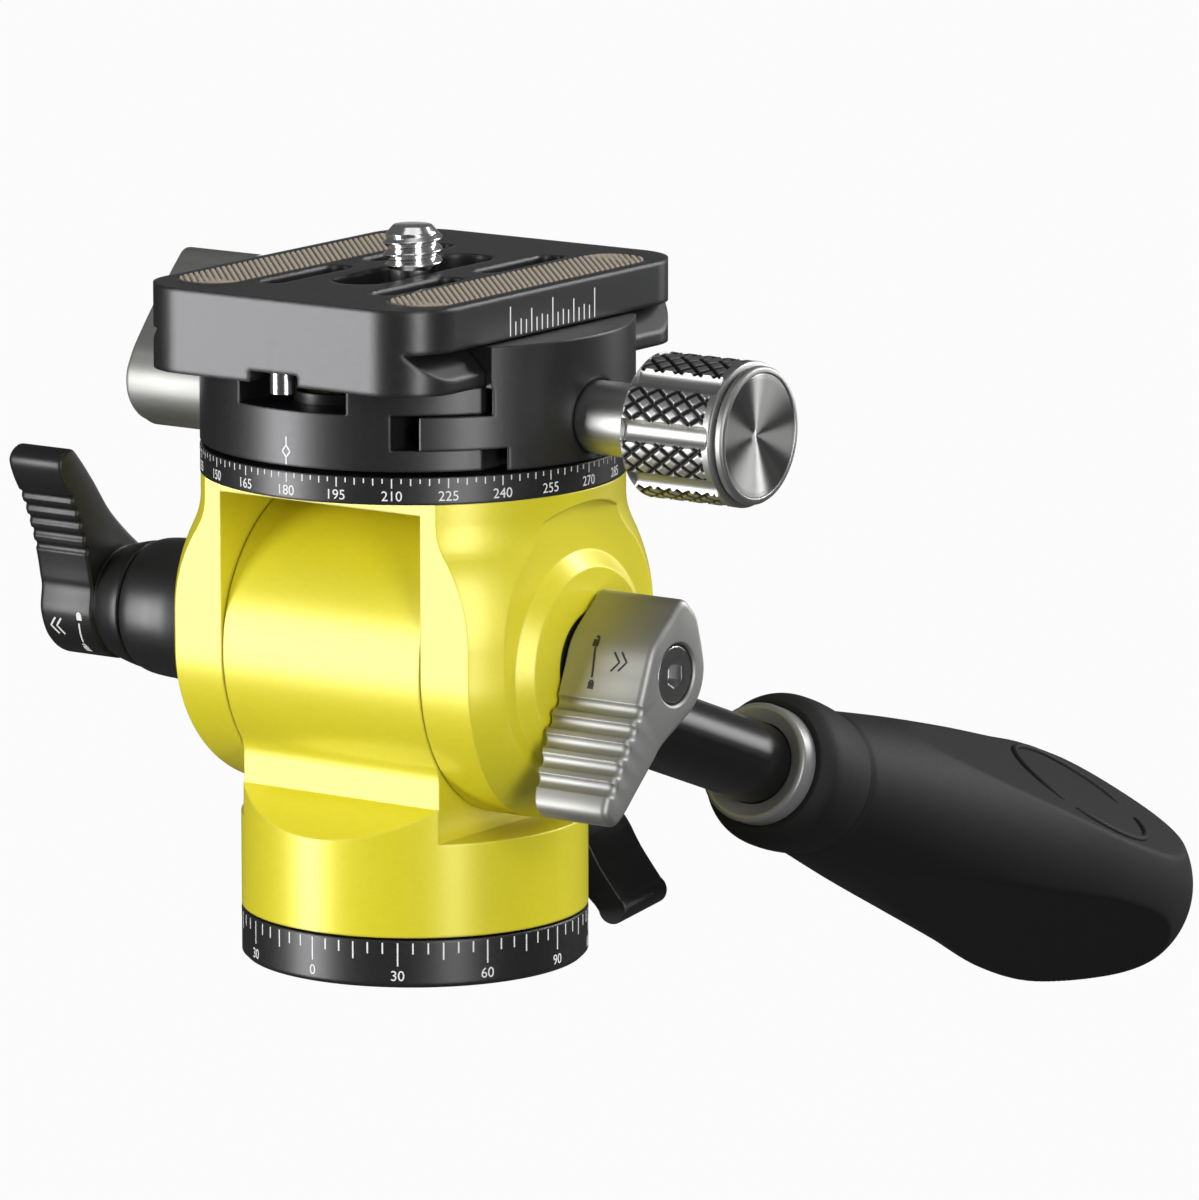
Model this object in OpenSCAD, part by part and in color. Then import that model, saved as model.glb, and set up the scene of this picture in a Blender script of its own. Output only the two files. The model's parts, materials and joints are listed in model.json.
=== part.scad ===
// Compact fluid video head: a pan base, a tilting yoke round a damped drum,
// a panorama clamp with a dovetail plate, four lock levers and a screw-in pan handle.
// X is the tilt axis, Y points back along the handle, Z is up, and the origin is
// the centre of the tripod face. Sizes are in millimetres.

/* [Base] */
// Radius of the scale ring and of the lower body above it
base_r = 18.65; // [17.5:0.05:21]
// Height of the scale ring at the bottom
ring_h = 5.15; // [4.5:0.05:7]
// Height of the lower body's round foot, above the scale ring
foot_h = 10.35; // [9.5:0.05:13]
// Running gap between the scale ring and the lower body
pan_gap = 0.3; // [0.2:0.05:0.6]
// Radius of the tripod thread (3/8 inch)
tripod_thread_r = 4.7625; // [3.175:0.0125:4.7625]
// Depth of the tripod thread insert
insert_h = 8.5; // [7:0.1:9]

/* [Tilt drum] */
// Radius of the tilt drum and of the round ends of the ears
drum_r = 17; // [16:0.1:18.5]
// Half the width of the drum
drum_half = 12.8; // [12:0.1:13.4]
// Half the depth of the neck that carries the drum
neck_half = 13.4; // [12.5:0.1:14]
// Gap between the foot and the lowest point of the ears
ear_floor_gap = 1.5; // [1:0.1:4]
// Radius of the tilt shaft
shaft_r = 5; // [4:0.1:5.5]
// Wall of the drum round its damper
drum_wall = 4; // [3:0.1:4.5]

/* [Yoke] */
// Gap between the drum and each ear
ear_gap = 0.25; // [0.2:0.05:0.5]
// Thickness of an ear at its machined side face
ear_t = 8.55; // [8.2:0.05:9]
// Height of the round boss on each ear
boss_h = 1.4; // [1:0.1:2]
// Radius of the boss at its foot
boss_r = 12; // [10.5:0.1:13]
// Largest radius of the turned belly
belly_r = 25.6; // [25:0.1:27]
// Radius of the arc that rounds the belly
belly_arc = 21; // [20:0.5:23]
// Height of the straight stretch in the belly
belly_straight = 4.2; // [2:0.1:5]
// Radius of the hollow between belly and top
waist_arc = 8; // [6:0.5:9]
// Thickness of the bridge over the drum
bridge_t = 1.4; // [1.2:0.1:3]

/* [Panorama turntable] */
// Height of the upper scale ring
dial_h = 2.9; // [2.5:0.1:4]
// Gap between the upper scale ring and the clamp
turn_gap = 0.6; // [0.4:0.05:1]
// Radius of the turntable hub
hub_r = 6; // [5.5:0.1:6.2]

/* [Clamp] */
// Radius of the clamp, and of the upper scale ring and the yoke's top below it
clamp_r = 22.75; // [22.5:0.05:23.6]
// Height from the clamp's bottom to its channel floor
clamp_h = 8.7; // [8.4:0.1:10]
// Width of the floor groove for the plate's stop screws
stop_groove_w = 13.9; // [12:0.1:15]
// Depth of that groove
stop_groove_d = 2.8; // [2.4:0.1:3]
// Inner end of that groove, from the middle
stop_groove_end = 8.8; // [8.5:0.1:11]
// Travel of the moving jaw
jaw_travel = 3; // [2:0.1:3]
// Radius of the clamp's drive screw (M5)
clamp_screw_r = 2.5; // [2:0.1:2.6]
// Radius of the clamp knob
knob_r = 7.7; // [6.5:0.1:7.8]
// Length of the clamp knob
knob_l = 12.9; // [11:0.1:16]
// Radius of the knob's stem
stem_r = 3.9; // [3.5:0.1:4.5]
// Length of the knob's stem
stem_l = 8.1; // [7:0.1:11]

/* [Plate] */
// Width of the dovetail plate
plate_w = 37.6; // [37.2:0.1:38.4]
// Length of the plate
plate_l = 50; // [48:0.1:60]
// Height of the plate
plate_h = 9; // [8.5:0.1:11]
// Height of the upright edge of the dovetail
dovetail_edge = 1.4; // [1.2:0.1:1.8]
// Depth of the dovetail's 45 degree undercut
dovetail_d = 3; // [2.6:0.1:3.2]
// Corner radius of the plate
plate_corner = 6.3; // [4:0.1:7]
// Radius of the camera screw's thread (1/4 inch)
camera_r = 3.175; // [2.5:0.025:3.175]
// Height of the camera screw above the plate
camera_h = 4.8; // [4:0.1:6]

/* [Levers] */
// Length from hub to tip of the drag lever
drag_len = 16.6; // [14:0.1:18]
// Length from hub to tip of the lock lever
lock_len = 18.9; // [17:0.1:19.2]
// Length from hub to tip of the panorama lever
pano_len = 12.8; // [11:0.1:15]
// Sideways reach from hub to tip of the pan lever
pan_len = 14.9; // [12:0.1:15.5]
// Width of the silver levers
lever_w = 10.7; // [9:0.1:12]
// Radius of the silver levers' hubs
lever_hub_r = 5.6; // [5:0.1:6]
// Width of the black lock lever's blade
lock_w = 7.4; // [6:0.1:8]
// Radius of the black lock lever's hub
lock_hub_r = 6.4; // [5.5:0.1:6.6]
// Length of the fixed collar behind the lock lever
collar_l = 11.6; // [9:0.1:13]

/* [Handle] */
// Angle of the handle below level
handle_pitch = 20.4; // [15:0.1:25]
// Distance that the handle's axis passes below the tilt axis
handle_drop = 3.3; // [3:0.1:4.5]
// Radius of the handle's rod
rod_r = 4.5; // [4:0.1:4.6]
// Distance along the handle from the tilt axis to the grip's collar
grip_start = 43.2; // [38:0.1:60]
// Length of the grip with its collar
grip_l = 89; // [75:0.1:100]
// Largest radius of the grip
grip_r = 14; // [12:0.1:16]
// Radius of the bead at the grip's mouth
bead_r = 8.7; // [8:0.1:9.5]

/* [Hidden] */
$fn = 96;
fit = 0.03;
slide_fit = 0.1;
rest_gap = 0.3;
edge = 0.4;
past = 1;

// Heights, from the tripod face upwards
body_z = ring_h + pan_gap;
shoulder_z = ring_h + foot_h;
tilt_z = shoulder_z + ear_floor_gap + drum_r;
bridge_z = tilt_z + drum_r + rest_gap;
yoke_top_z = bridge_z + bridge_t;
dial_top_z = yoke_top_z + dial_h;
clamp_z = dial_top_z + turn_gap;
floor_z = clamp_z + clamp_h;
plate_gap = 0.2;
plate_z = floor_z + plate_gap;
plate_top_z = plate_z + plate_h;

// Pan bearing inside the foot
web_t = 2.5;
insert_wall = 1.75;
spindle_wall = 4;
flange_step = 3;
cavity_step = 2.1;
insert_r = tripod_thread_r + insert_wall;
spindle_r = insert_r + spindle_wall;
flange_r = spindle_r + flange_step;
cavity_r = flange_r + cavity_step;
cavity_roof = 2.6;
cavity_z = shoulder_z - cavity_roof;
washer_t = 0.5;
keeper_t = 1.3;
keeper_z = body_z + 0.15;
lower_washer_z = keeper_z + keeper_t + fit;
flange_z = lower_washer_z + washer_t + fit;
upper_washer_z = cavity_z - washer_t - fit;
flange_top_z = upper_washer_z - fit;
base_screw_r = 1;
base_screw_head_r = 1.9;
base_screw_circle = (insert_r + spindle_r) / 2;
base_screw_l = 6;

// Neck profile between foot and drum
slope_top = 3.7;
neck_fillet = 4;

// Tilt drum and damper
drum_bore_r = drum_r - drum_wall;
cover_t = 2.1;
cover_inset = 0.1;
cover_in = drum_half - cover_inset - cover_t;
bush_wall = 1.5;
bush_r = shaft_r + fit + bush_wall;
damper_half = cover_in - 0.3;
fin_t = 1.4;
fin_pitch = (2 * damper_half - fin_t) / 7;
sleeve_t = 1.4;
rotor_hub_t = 1.2;
fin_gap = 0.4;

// Ears
yoke_inset = 0.05;
yoke_top_r = clamp_r - yoke_inset;
ear_in = drum_half + ear_gap;
ear_out = ear_in + ear_t;
boss_x = ear_out + boss_h;
boss_taper = 1.7;
boss_top_r = boss_r - boss_taper;
side_face_r = drum_r + rest_gap;
disc_t = 1;
disc_r = 10.5;
shaft_end = ear_out - 1.2;
stud_r = 2.5;
spring_t = 0.5;
spring_count = 3;
spring_seat = spring_count * spring_t + 0.2;
spring_r = 5.6;
belly_low_z = tilt_z - 0.5;
belly_high_z = belly_low_z + belly_straight;
belly_x = belly_r - belly_arc;
waist_x = yoke_top_r + waist_arc;
waist_z = belly_high_z + sqrt(pow(belly_arc + waist_arc, 2) - pow(waist_x - belly_x, 2));

// Turntable
dial_r = clamp_r;
table_screw_r = 1.5;
table_screw_head_r = 2.8;
table_screw_l = 8;
table_screw_x = ear_in + 3.8;
table_screw_y = 9;
hub_flange_t = 1;
hub_neck_r = hub_r - 2;
counterbore_r = hub_r + 0.2;
groove_z = floor_z - stop_groove_d;
hub_step_z = groove_z - hub_flange_t - 0.1;
hub_top_z = groove_z + 0.05;
keeper_disc_t = 1;
pano_screw_r = 1.5;
pano_screw_head_r = 2.8;

// Clamp and jaw
dovetail_half = plate_w / 2;
undercut_z = plate_z + dovetail_edge;
slab_z = undercut_z + dovetail_d;
jaw_top_z = slab_z - plate_gap;
screw_rise = 4.3;
screw_z = clamp_z + screw_rise;
tongue_half = 1.75;
tongue_z = screw_z - 0.2;
jaw_overlap = 0.4;
jaw_body_x = dovetail_half - jaw_overlap;
jaw_shift = 1.2;
tongue_lap = 1.2;
tongue_room = 2.95;
finger_set = 1.3;
heel_set = 2.2;
tongue_x = jaw_body_x - jaw_travel - tongue_lap;
slot_end_x = tongue_x - tongue_room;
finger_x = jaw_body_x + finger_set;
heel_x = jaw_body_x + heel_set;
lip_half = 13.3;
knob_seat_x = clamp_r + jaw_shift - 0.5;
knob_x = knob_seat_x + stem_l;
knob_end_x = knob_x + knob_l;
knob_edge = 1;
knob_flutes = 9;
flute_r = 2.2;
flute_d = 0.35;
end_disc_r = knob_r - 1.2;
end_disc_d = 1.2;
pin_r = 1.5;
pin_y = 11;
pin_in = 4.5;
level_r = 4.5;
level_y = -(stop_groove_end + level_r + 0.6);
level_h = 2.9;
level_sink = 1.8;
level_wall = 0.7;

// Plate details
strip_x = 13.7;
strip_w = 7;
strip_margin = 4.5;
strip_l = plate_l - 2 * strip_margin;
strip_sink = 0.4;
strip_rise = 0.15;
centre_slot_l = 24.6;
centre_slot_w = 2 * camera_r + 0.3;
side_slot_x = 7.3;
side_slot_w = 3.2;
side_slot_from = 2;
side_slot_to = 16.5;
head_r = 5.2;
head_h = 3;
head_gap = 0.6;
head_slot_w = 2 * head_r + 0.6;
head_roof_z = plate_z + head_gap + head_h + 1.2;
clip_t = 0.8;
neck_r = camera_r - 0.575;
stop_screw_margin = 1.8;
stop_screw_y = plate_l / 2 - stop_screw_margin;
stop_screw_r = 1.4;
stop_screw_drop = 1.1;
stop_notch_w = 6.3;
stop_notch_h = 1.2;

// Levers
stud_room = 3.2;
pan_stud_room = 4;
drag_angle = -132;
lock_angle = 123.6;
pano_angle = 61;
pan_drop = 8.1;
pan_around = 11.5;
lever_tip_r = 2.05;
tail_thinning = 2.6;
lock_tip_r = 1.9;
pan_lever_r = 4.8;
pan_tip_r = 1.6;
serration_r = 0.75;
serrations = 5;
lever_x = boss_x + rest_gap;
lever_end = lever_x + lever_w;
collar_x = boss_x;
collar_end = collar_x + collar_l;
collar_r = 7.9;
collar_taper = 2;
collar_foot_r = 8.9;
lock_hub_l = 3.9;
lock_x = collar_end + 0.2;
lock_blade_x = lock_x + lock_hub_l;
lock_end = lock_blade_x + lock_w;
pano_x = clamp_r + rest_gap;
pano_extra_w = 1.4;
pano_end = pano_x + lever_w + pano_extra_w;
pano_rise = 3.2;
pano_z = clamp_z + pano_rise;
pano_hub_r = 4.9;
pano_stud_r = 2;
pano_pad_l = 1.5;
pan_lever_gap = 0.55;
pan_lever_w = 11.6;
pan_lever_in = base_r + pan_lever_gap;
pan_lever_out = pan_lever_in + pan_lever_w;
pan_lever_z = (flange_z + flange_top_z) / 2 - 0.2;
pan_stud_r = 2.2;
pan_pad_l = 1.5;
cap_head_r = 3;
cap_head_h = 2.6;
cap_sink = 0.3;
cap_seat_r = cap_head_r + 0.3;
cap_shank_r = 1.6;
cap_shank_l = 4;
hex_r = 1.45;
hex_d = 1.6;

// Handle
handle_x = (ear_in + ear_out) / 2;
handle_stud_r = 3;
handle_stud_from = 8.7;
rod_seat = sqrt(pow(drum_r, 2) - pow(handle_drop, 2)) - 0.5;
rod_stud_l = 9;
ferrule_r = 6.7;
ferrule_l = 7;
grip_end = grip_start + grip_l;
grip_turn = 29.6;
grip_flat_r = 0.692 * grip_r;
grip_nose = 18;
ferrule_lip = 2.4;
bead_l = 10;
rod_end = grip_end - grip_nose;
bead_start = grip_start + ferrule_lip;
bead_end = bead_start + bead_l;

yellow = [0.87, 0.82, 0.16];
black = [0.09, 0.09, 0.1];
satin = [0.62, 0.61, 0.58];
steel = [0.75, 0.75, 0.77];
brass = [0.72, 0.58, 0.28];
rubber = [0.06, 0.06, 0.06];
strip_tan = [0.6, 0.55, 0.48];
fibre = [0.45, 0.33, 0.22];
level_green = [0.7, 0.85, 0.25];

// Shared shapes

// An outline drawn in Y and Z, carried along X
module along_x(from, to) {
    translate([from, 0, 0]) rotate([90, 0, 90]) linear_extrude(to - from) children();
}

// An outline drawn in X and Z, carried along Y both ways from the middle
module along_y(half) {
    rotate([90, 0, 0]) linear_extrude(2 * half, center = true) children();
}

// A round bar along X
module bar_x(r, from, to, y = 0, z = 0) {
    translate([from, y, z]) rotate([0, 90, 0]) cylinder(r = r, h = to - from);
}

// A cone or tapered bar along X
module taper_x(r1, r2, from, to, z) {
    translate([from, 0, z]) rotate([0, 90, 0]) cylinder(r1 = r1, r2 = r2, h = to - from);
}

// An upright tube
module tube(outer, inner, from, to) {
    translate([0, 0, from]) difference() {
        cylinder(r = outer, h = to - from);
        translate([0, 0, -past]) cylinder(r = inner, h = to - from + 2 * past);
    }
}

// A tube along X
module tube_x(outer, inner, from, to, z = tilt_z) {
    difference() {
        bar_x(outer, from, to, 0, z);
        bar_x(inner, from - past, to + past, 0, z);
    }
}

// The same piece on both sides of the middle plane of the drum
module both_sides() {
    children();
    mirror([1, 0, 0]) children();
}

// A rectangle with round corners
module rounded(w, l, r) {
    square([w - 2 * r, l], center = true);
    square([w, l - 2 * r], center = true);
    for (x = [-1, 1], y = [-1, 1]) translate([x * (w / 2 - r), y * (l / 2 - r)]) circle(r);
}

// A slot with round ends along Y, drawn from one end centre to the other
module slot(w, from, to) {
    translate([-w / 2, from]) square([w, to - from]);
    translate([0, from]) circle(w / 2);
    translate([0, to]) circle(w / 2);
}

// The handle's own axis becomes Z, starting beside the tilt axis
module on_handle() {
    translate([handle_x, 0, tilt_z]) rotate([-90 - handle_pitch, 0, 0]) translate([0, handle_drop, 0]) children();
}

// The pan lever's radial axis becomes -Z, with Y up
module on_pan_lever() {
    translate([0, 0, pan_lever_z]) rotate([90, 0, pan_around]) children();
}

// Points of a smooth curve through the given ones
function curve(p, n) = [
    for (i = [0:len(p) - 2], k = [0:n - 1])
        let (t = k / n, a = p[max(i - 1, 0)], b = p[i], c = p[i + 1], d = p[min(i + 2, len(p) - 1)])
        0.5 * (2 * b + (c - a) * t + (2 * a - 5 * b + 4 * c - d) * t * t + (3 * b - a - 3 * c + d) * t * t * t),
    p[len(p) - 1]
];

// Outline of a silver lever beside its round hub: a nose, and a tapering tail with serrations
module paddle_outline(hub, len, tip, nose, back) {
    difference() {
        union() {
            translate([len, 0]) circle(tip);
            polygon([
                [0, 0], [0.15 * hub, 0.94 * hub], [hub, 0.64 * hub], [len, 0.97 * tip],
                [len, -0.97 * tip], [0.8 * hub, -back * hub], [0.1 * hub, -0.94 * hub]
            ]);
            polygon([[0, 0], [-0.8 * hub, -0.5 * hub], [-nose * hub, 0.12 * hub], [-nose * hub, 0.75 * hub],
                [-0.1 * hub, 0.96 * hub]]);
        }
        for (i = [0:serrations - 1])
            let (t = (i + 0.6) / serrations)
            translate([hub + t * (len - hub), 0.64 * hub + t * (tip - 0.64 * hub) + 0.35 * serration_r])
                circle(serration_r, $fn = 32);
    }
}

// The tail of a silver lever thins towards its tip: the wedge taken off its inner side
module paddle_thinning(len, inner, out) {
    translate([0, 0, -len]) linear_extrude(2 * len)
        polygon([[inner - out, 0.3 * len], [inner - out, 1.4 * len], [inner + out * tail_thinning, 1.4 * len]]);
}

// Outline of the black tilt lever: round hub, tapering back and a hollow, serrated front
module hook_outline(hub, len, tip) {
    hollow = 1.7 * len;
    hollow_v = hollow + 0.5 * tip;
    difference() {
        polygon([[0, 0.95 * hub], [len, tip], [len, -1.45 * tip], [0.55 * len, -0.54 * hub], [0.55 * hub, -0.8 * hub], [0, 0]]);
        translate([len, hollow_v]) circle(hollow);
        for (i = [0:serrations - 1])
            let (u = (0.5 + 0.085 * i) * len)
            translate([u, hollow_v - sqrt(hollow * hollow - pow(u - len, 2))]) circle(0.6 * serration_r, $fn = 32);
    }
    circle(hub);
    translate([len, -0.5 * tip]) circle(tip);
}

// Outline of the black pan lever beside its round hub: a tail that bends down like a claw
module claw_outline(hub, reach, drop, tip) {
    upper = curve([
        [0, 0.98 * hub], [0.42 * reach, 0.76 * hub], [0.65 * reach, 0.3 * hub], [0.78 * reach, -0.06 * hub],
        [0.9 * reach, -0.42 * drop], [reach + 0.72 * tip, -drop + 0.6 * tip]
    ], 3);
    lower = curve([
        [reach - 0.6 * tip, -drop - 0.72 * tip], [0.81 * reach, -0.86 * drop], [0.58 * reach, -0.64 * drop],
        [0.28 * reach, -0.9 * hub], [0, -0.98 * hub]
    ], 3);
    translate([reach, -drop]) circle(tip);
    polygon(concat(upper, lower));
}

// A socket-head screw along Z, its head's top at z = 0 and its shank below
module cap_screw() {
    difference() {
        translate([0, 0, -cap_head_h]) cylinder(r = cap_head_r, h = cap_head_h);
        translate([0, 0, -hex_d]) cylinder(r = hex_r, h = hex_d + past, $fn = 6);
    }
    translate([0, 0, -cap_head_h - cap_shank_l]) cylinder(r = cap_shank_r, h = cap_shank_l + fit);
}

// The room that such a screw takes
module cap_screw_room() {
    translate([0, 0, -cap_head_h - cap_sink]) cylinder(r = cap_seat_r, h = cap_head_h + cap_sink + past);
    translate([0, 0, -cap_head_h - cap_shank_l - 0.5]) cylinder(r = cap_shank_r + fit, h = cap_shank_l + 1);
}

// Places of the four screws under the scale ring
module at_base_screws() {
    for (a = [45:90:315]) rotate(a) translate([base_screw_circle, 0, 0]) children();
}

// Places of the four screws that hold the dial to the ears
module at_dial_screws() {
    for (x = [-1, 1], y = [-1, 1]) translate([x * table_screw_x, y * table_screw_y, 0]) children();
}

// Base

module base_ring() {
    color(black) difference() {
        rotate_extrude() polygon([
            [insert_r + fit, 0], [base_r - edge, 0], [base_r, edge], [base_r, ring_h],
            [spindle_r + fit, ring_h], [spindle_r + fit, web_t], [insert_r + fit, web_t]
        ]);
        at_base_screws() {
            translate([0, 0, -past]) cylinder(r = base_screw_r + fit, h = web_t + 2 * past);
            translate([0, 0, -fit]) cylinder(r1 = base_screw_head_r + 2 * fit, r2 = base_screw_r + 2 * fit, h = 1);
        }
    }
}

module pan_spindle() {
    color(steel) difference() {
        rotate_extrude() polygon([
            [0, insert_h + fit], [insert_r + fit, insert_h + fit], [insert_r + fit, web_t], [spindle_r, web_t],
            [spindle_r, flange_z], [flange_r, flange_z], [flange_r, flange_top_z], [0, flange_top_z]
        ]);
        at_base_screws() translate([0, 0, web_t - past]) cylinder(r = base_screw_r + fit, h = base_screw_l - web_t + past + 0.2);
    }
}

module tripod_insert() {
    color(steel) tube(insert_r, tripod_thread_r, 0, insert_h);
}

module base_screws() {
    color(steel) at_base_screws() rotate_extrude() polygon([
        [0, 0.1], [base_screw_head_r - 0.1, 0.1], [base_screw_r, 0.95], [base_screw_r, base_screw_l], [0, base_screw_l]
    ]);
}

// Pan body

// Neck outline in Y and Z: slope from the foot, upright wall, fillet into the drum
module neck_half_outline() {
    wall_z = shoulder_z + slope_top;
    reach = drum_r + neck_fillet;
    fillet_y = neck_half + neck_fillet;
    fillet_z = tilt_z - sqrt(reach * reach - fillet_y * fillet_y);
    share = drum_r / reach;
    polygon([[0, body_z + past], [base_r, body_z + past], [base_r, shoulder_z], [neck_half, wall_z], [neck_half, tilt_z], [0, tilt_z]]);
    difference() {
        polygon([
            [neck_half - past, wall_z], [neck_half, wall_z], [fillet_y, fillet_z],
            [fillet_y * share, tilt_z - (tilt_z - fillet_z) * share], [neck_half - past, tilt_z]
        ]);
        translate([fillet_y, fillet_z]) circle(neck_fillet);
        translate([neck_half, shoulder_z]) square([2 * neck_fillet, fillet_z - shoulder_z]);
    }
}

module lower_body() {
    color(yellow) difference() {
        union() {
            translate([0, 0, body_z]) cylinder(r = base_r, h = shoulder_z - body_z);
            intersection() {
                along_x(-drum_half, drum_half) {
                    neck_half_outline();
                    mirror([1, 0]) neck_half_outline();
                }
                union() {
                    translate([0, 0, body_z + past / 2]) cylinder(r = base_r, h = tilt_z);
                    translate([-drum_half - past, -drum_r, shoulder_z + slope_top]) cube([2 * drum_half + 2 * past, 2 * drum_r, tilt_z]);
                }
            }
            bar_x(drum_r, -drum_half, drum_half, 0, tilt_z);
        }
        translate([0, 0, body_z - past]) cylinder(r = cavity_r, h = cavity_z - body_z + past);
        bar_x(drum_bore_r, -drum_half - past, drum_half + past, 0, tilt_z);
        on_pan_lever() translate([0, 0, -base_r - past]) cylinder(r = pan_stud_r + 0.05, h = base_r - flange_r + past);
    }
}

module pan_keeper_ring() {
    color(brass) tube(cavity_r - fit, spindle_r + slide_fit, keeper_z, keeper_z + keeper_t);
}

module pan_friction_washers() {
    color(fibre) for (z = [lower_washer_z, upper_washer_z])
        tube(flange_r + 0.8, spindle_r + slide_fit, z, z + washer_t);
}

module drum_end_covers() {
    color(black) both_sides() tube_x(drum_bore_r - fit, bush_r + fit, cover_in, cover_in + cover_t);
}

module tilt_bushes() {
    color(brass) both_sides() tube_x(bush_r, shaft_r + fit, cover_in, cover_in + cover_t);
}

// Fixed rings of the fluid damper: a sleeve with inward fins
module damper_stator() {
    sleeve_r = drum_bore_r - fit;
    color(satin) {
        tube_x(sleeve_r, sleeve_r - sleeve_t, -damper_half, damper_half);
        for (i = [-1:1])
            tube_x(sleeve_r - sleeve_t + fit, shaft_r + rotor_hub_t + fin_gap,
                2 * i * fin_pitch - fin_t / 2, 2 * i * fin_pitch + fin_t / 2);
    }
}

// Turning discs of the damper, on the tilt shaft
module damper_rotor() {
    color(steel) {
        tube_x(shaft_r + rotor_hub_t, shaft_r + fit, -damper_half, damper_half);
        for (i = [-1.5:1.5])
            tube_x(drum_bore_r - sleeve_t - fin_gap - fit, shaft_r + rotor_hub_t - fit,
                2 * i * fin_pitch - fin_t / 2, 2 * i * fin_pitch + fin_t / 2);
    }
}

// Pan lock

module pan_lever() {
    color(black) on_pan_lever() difference() {
        union() {
            translate([0, 0, -pan_lever_out]) cylinder(r = pan_lever_r, h = pan_lever_out - pan_lever_in);
            translate([0, 0, -pan_lever_out]) linear_extrude(pan_lever_out - pan_lever_in)
                claw_outline(pan_lever_r, pan_len, pan_drop, pan_tip_r);
        }
        translate([0, 0, -pan_lever_out]) mirror([0, 0, 1]) cap_screw_room();
        translate([0, 0, -pan_lever_in - pan_stud_room]) cylinder(r = pan_stud_r + fit, h = pan_stud_room + past);
    }
}

module pan_lock_stud() {
    color(steel) on_pan_lever() translate([0, 0, -pan_lever_in - pan_stud_room + fit])
        cylinder(r = pan_stud_r, h = pan_lever_in + pan_stud_room - flange_r - pan_pad_l - 4 * fit);
}

module pan_brake_pad() {
    color(brass) on_pan_lever() translate([0, 0, -flange_r - pan_pad_l - fit])
        cylinder(r = pan_stud_r - 0.1, h = pan_pad_l - slide_fit);
}

module pan_lever_screw() {
    color(steel) on_pan_lever() translate([0, 0, -pan_lever_out + cap_sink]) mirror([0, 0, 1]) cap_screw();
}

// Tilt yoke

// Turned outline of the yoke, radius against height
module yoke_profile() {
    difference() {
        union() {
            translate([belly_x, belly_low_z]) circle(belly_arc);
            translate([belly_x, belly_high_z]) circle(belly_arc);
            translate([0, belly_low_z]) square([belly_r, belly_straight]);
            translate([0, belly_high_z]) square([waist_x, yoke_top_z - belly_high_z]);
        }
        translate([waist_x, waist_z]) circle(waist_arc);
        translate([yoke_top_r, waist_z]) square([2 * waist_arc, yoke_top_z - waist_z + belly_arc]);
        translate([-2 * belly_arc, 0]) square([2 * belly_arc, 2 * yoke_top_z]);
        translate([0, yoke_top_z]) square([2 * belly_r, 2 * belly_arc]);
        waist_tip = belly_high_z + (waist_z - belly_high_z) * belly_arc / (belly_arc + waist_arc);
        waist_tip_x = belly_x + (waist_x - belly_x) * belly_arc / (belly_arc + waist_arc);
        difference() {
            translate([0, belly_high_z]) square([2 * belly_r, waist_z - belly_high_z]);
            translate([belly_x, belly_high_z]) circle(belly_arc);
            translate([0, waist_tip]) square([waist_tip_x, waist_z - waist_tip]);
            polygon([[waist_tip_x - past, waist_tip], [waist_tip_x, waist_tip], [waist_x, waist_z], [waist_tip_x - past, waist_z]]);
        }
    }
}

module yoke() {
    color(yellow) difference() {
        union() {
            difference() {
                intersection() {
                    rotate_extrude() yoke_profile();
                    along_x(-belly_r - past, belly_r + past) {
                        translate([0, tilt_z]) circle(drum_r);
                        translate([-drum_r, tilt_z]) square([2 * drum_r, yoke_top_z - tilt_z]);
                    }
                }
                both_sides() bar_x(side_face_r, ear_out, belly_r + past, 0, tilt_z);
            }
            both_sides() taper_x(boss_r, boss_top_r, ear_out - fit, boss_x, tilt_z);
        }
        translate([-ear_in, -drum_r - past, 0]) cube([2 * ear_in, 2 * drum_r + 2 * past, bridge_z]);
        both_sides() {
            bar_x(disc_r + slide_fit, ear_in - past, ear_in + disc_t, 0, tilt_z);
            bar_x(shaft_r + fit, ear_in - past, shaft_end, 0, tilt_z);
            bar_x(stud_r + 0.05, shaft_end - past, boss_x + past, 0, tilt_z);
        }
        bar_x(spring_r + slide_fit, boss_x - spring_seat, boss_x + past, 0, tilt_z);
        on_handle() {
            translate([0, 0, handle_stud_from - 0.2]) cylinder(r = handle_stud_r + fit, h = 2 * drum_r);
            translate([0, 0, rod_seat]) cylinder(r = rod_r + slide_fit, h = drum_r);
        }
        at_dial_screws() translate([0, 0, dial_top_z - table_screw_l - 0.5]) cylinder(r = table_screw_r + fit, h = 2 * table_screw_l);
    }
}

module tilt_shaft() {
    color(steel) difference() {
        bar_x(shaft_r, -shaft_end + fit, shaft_end - fit, 0, tilt_z);
        both_sides() bar_x(stud_r + fit, ear_in - past, shaft_end + past, 0, tilt_z);
    }
}

module tilt_friction_discs() {
    color(fibre) both_sides() tube_x(disc_r, shaft_r + slide_fit, ear_in + fit - 0.12, ear_in + disc_t - fit);
}

module drag_spring_washers() {
    color(steel) for (i = [0:spring_count - 1])
        tube_x(spring_r, stud_r + slide_fit, boss_x - spring_seat + fit + i * (spring_t + fit),
            boss_x - spring_seat + fit + i * (spring_t + fit) + spring_t);
}

module lock_collar() {
    color(black) mirror([1, 0, 0]) translate([0, 0, tilt_z]) rotate([0, 90, 0]) rotate_extrude() polygon([
        [stud_r + 0.05, collar_x], [collar_foot_r, collar_x], [collar_r, collar_x + 0.6 * collar_l], [collar_r, collar_end - collar_taper],
        [collar_r - 0.35, collar_end - 0.75 * collar_taper], [lock_hub_r, collar_end - 0.15 * collar_taper],
        [lock_hub_r - 0.2, collar_end], [stud_r + 0.05, collar_end]
    ]);
}

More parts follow.
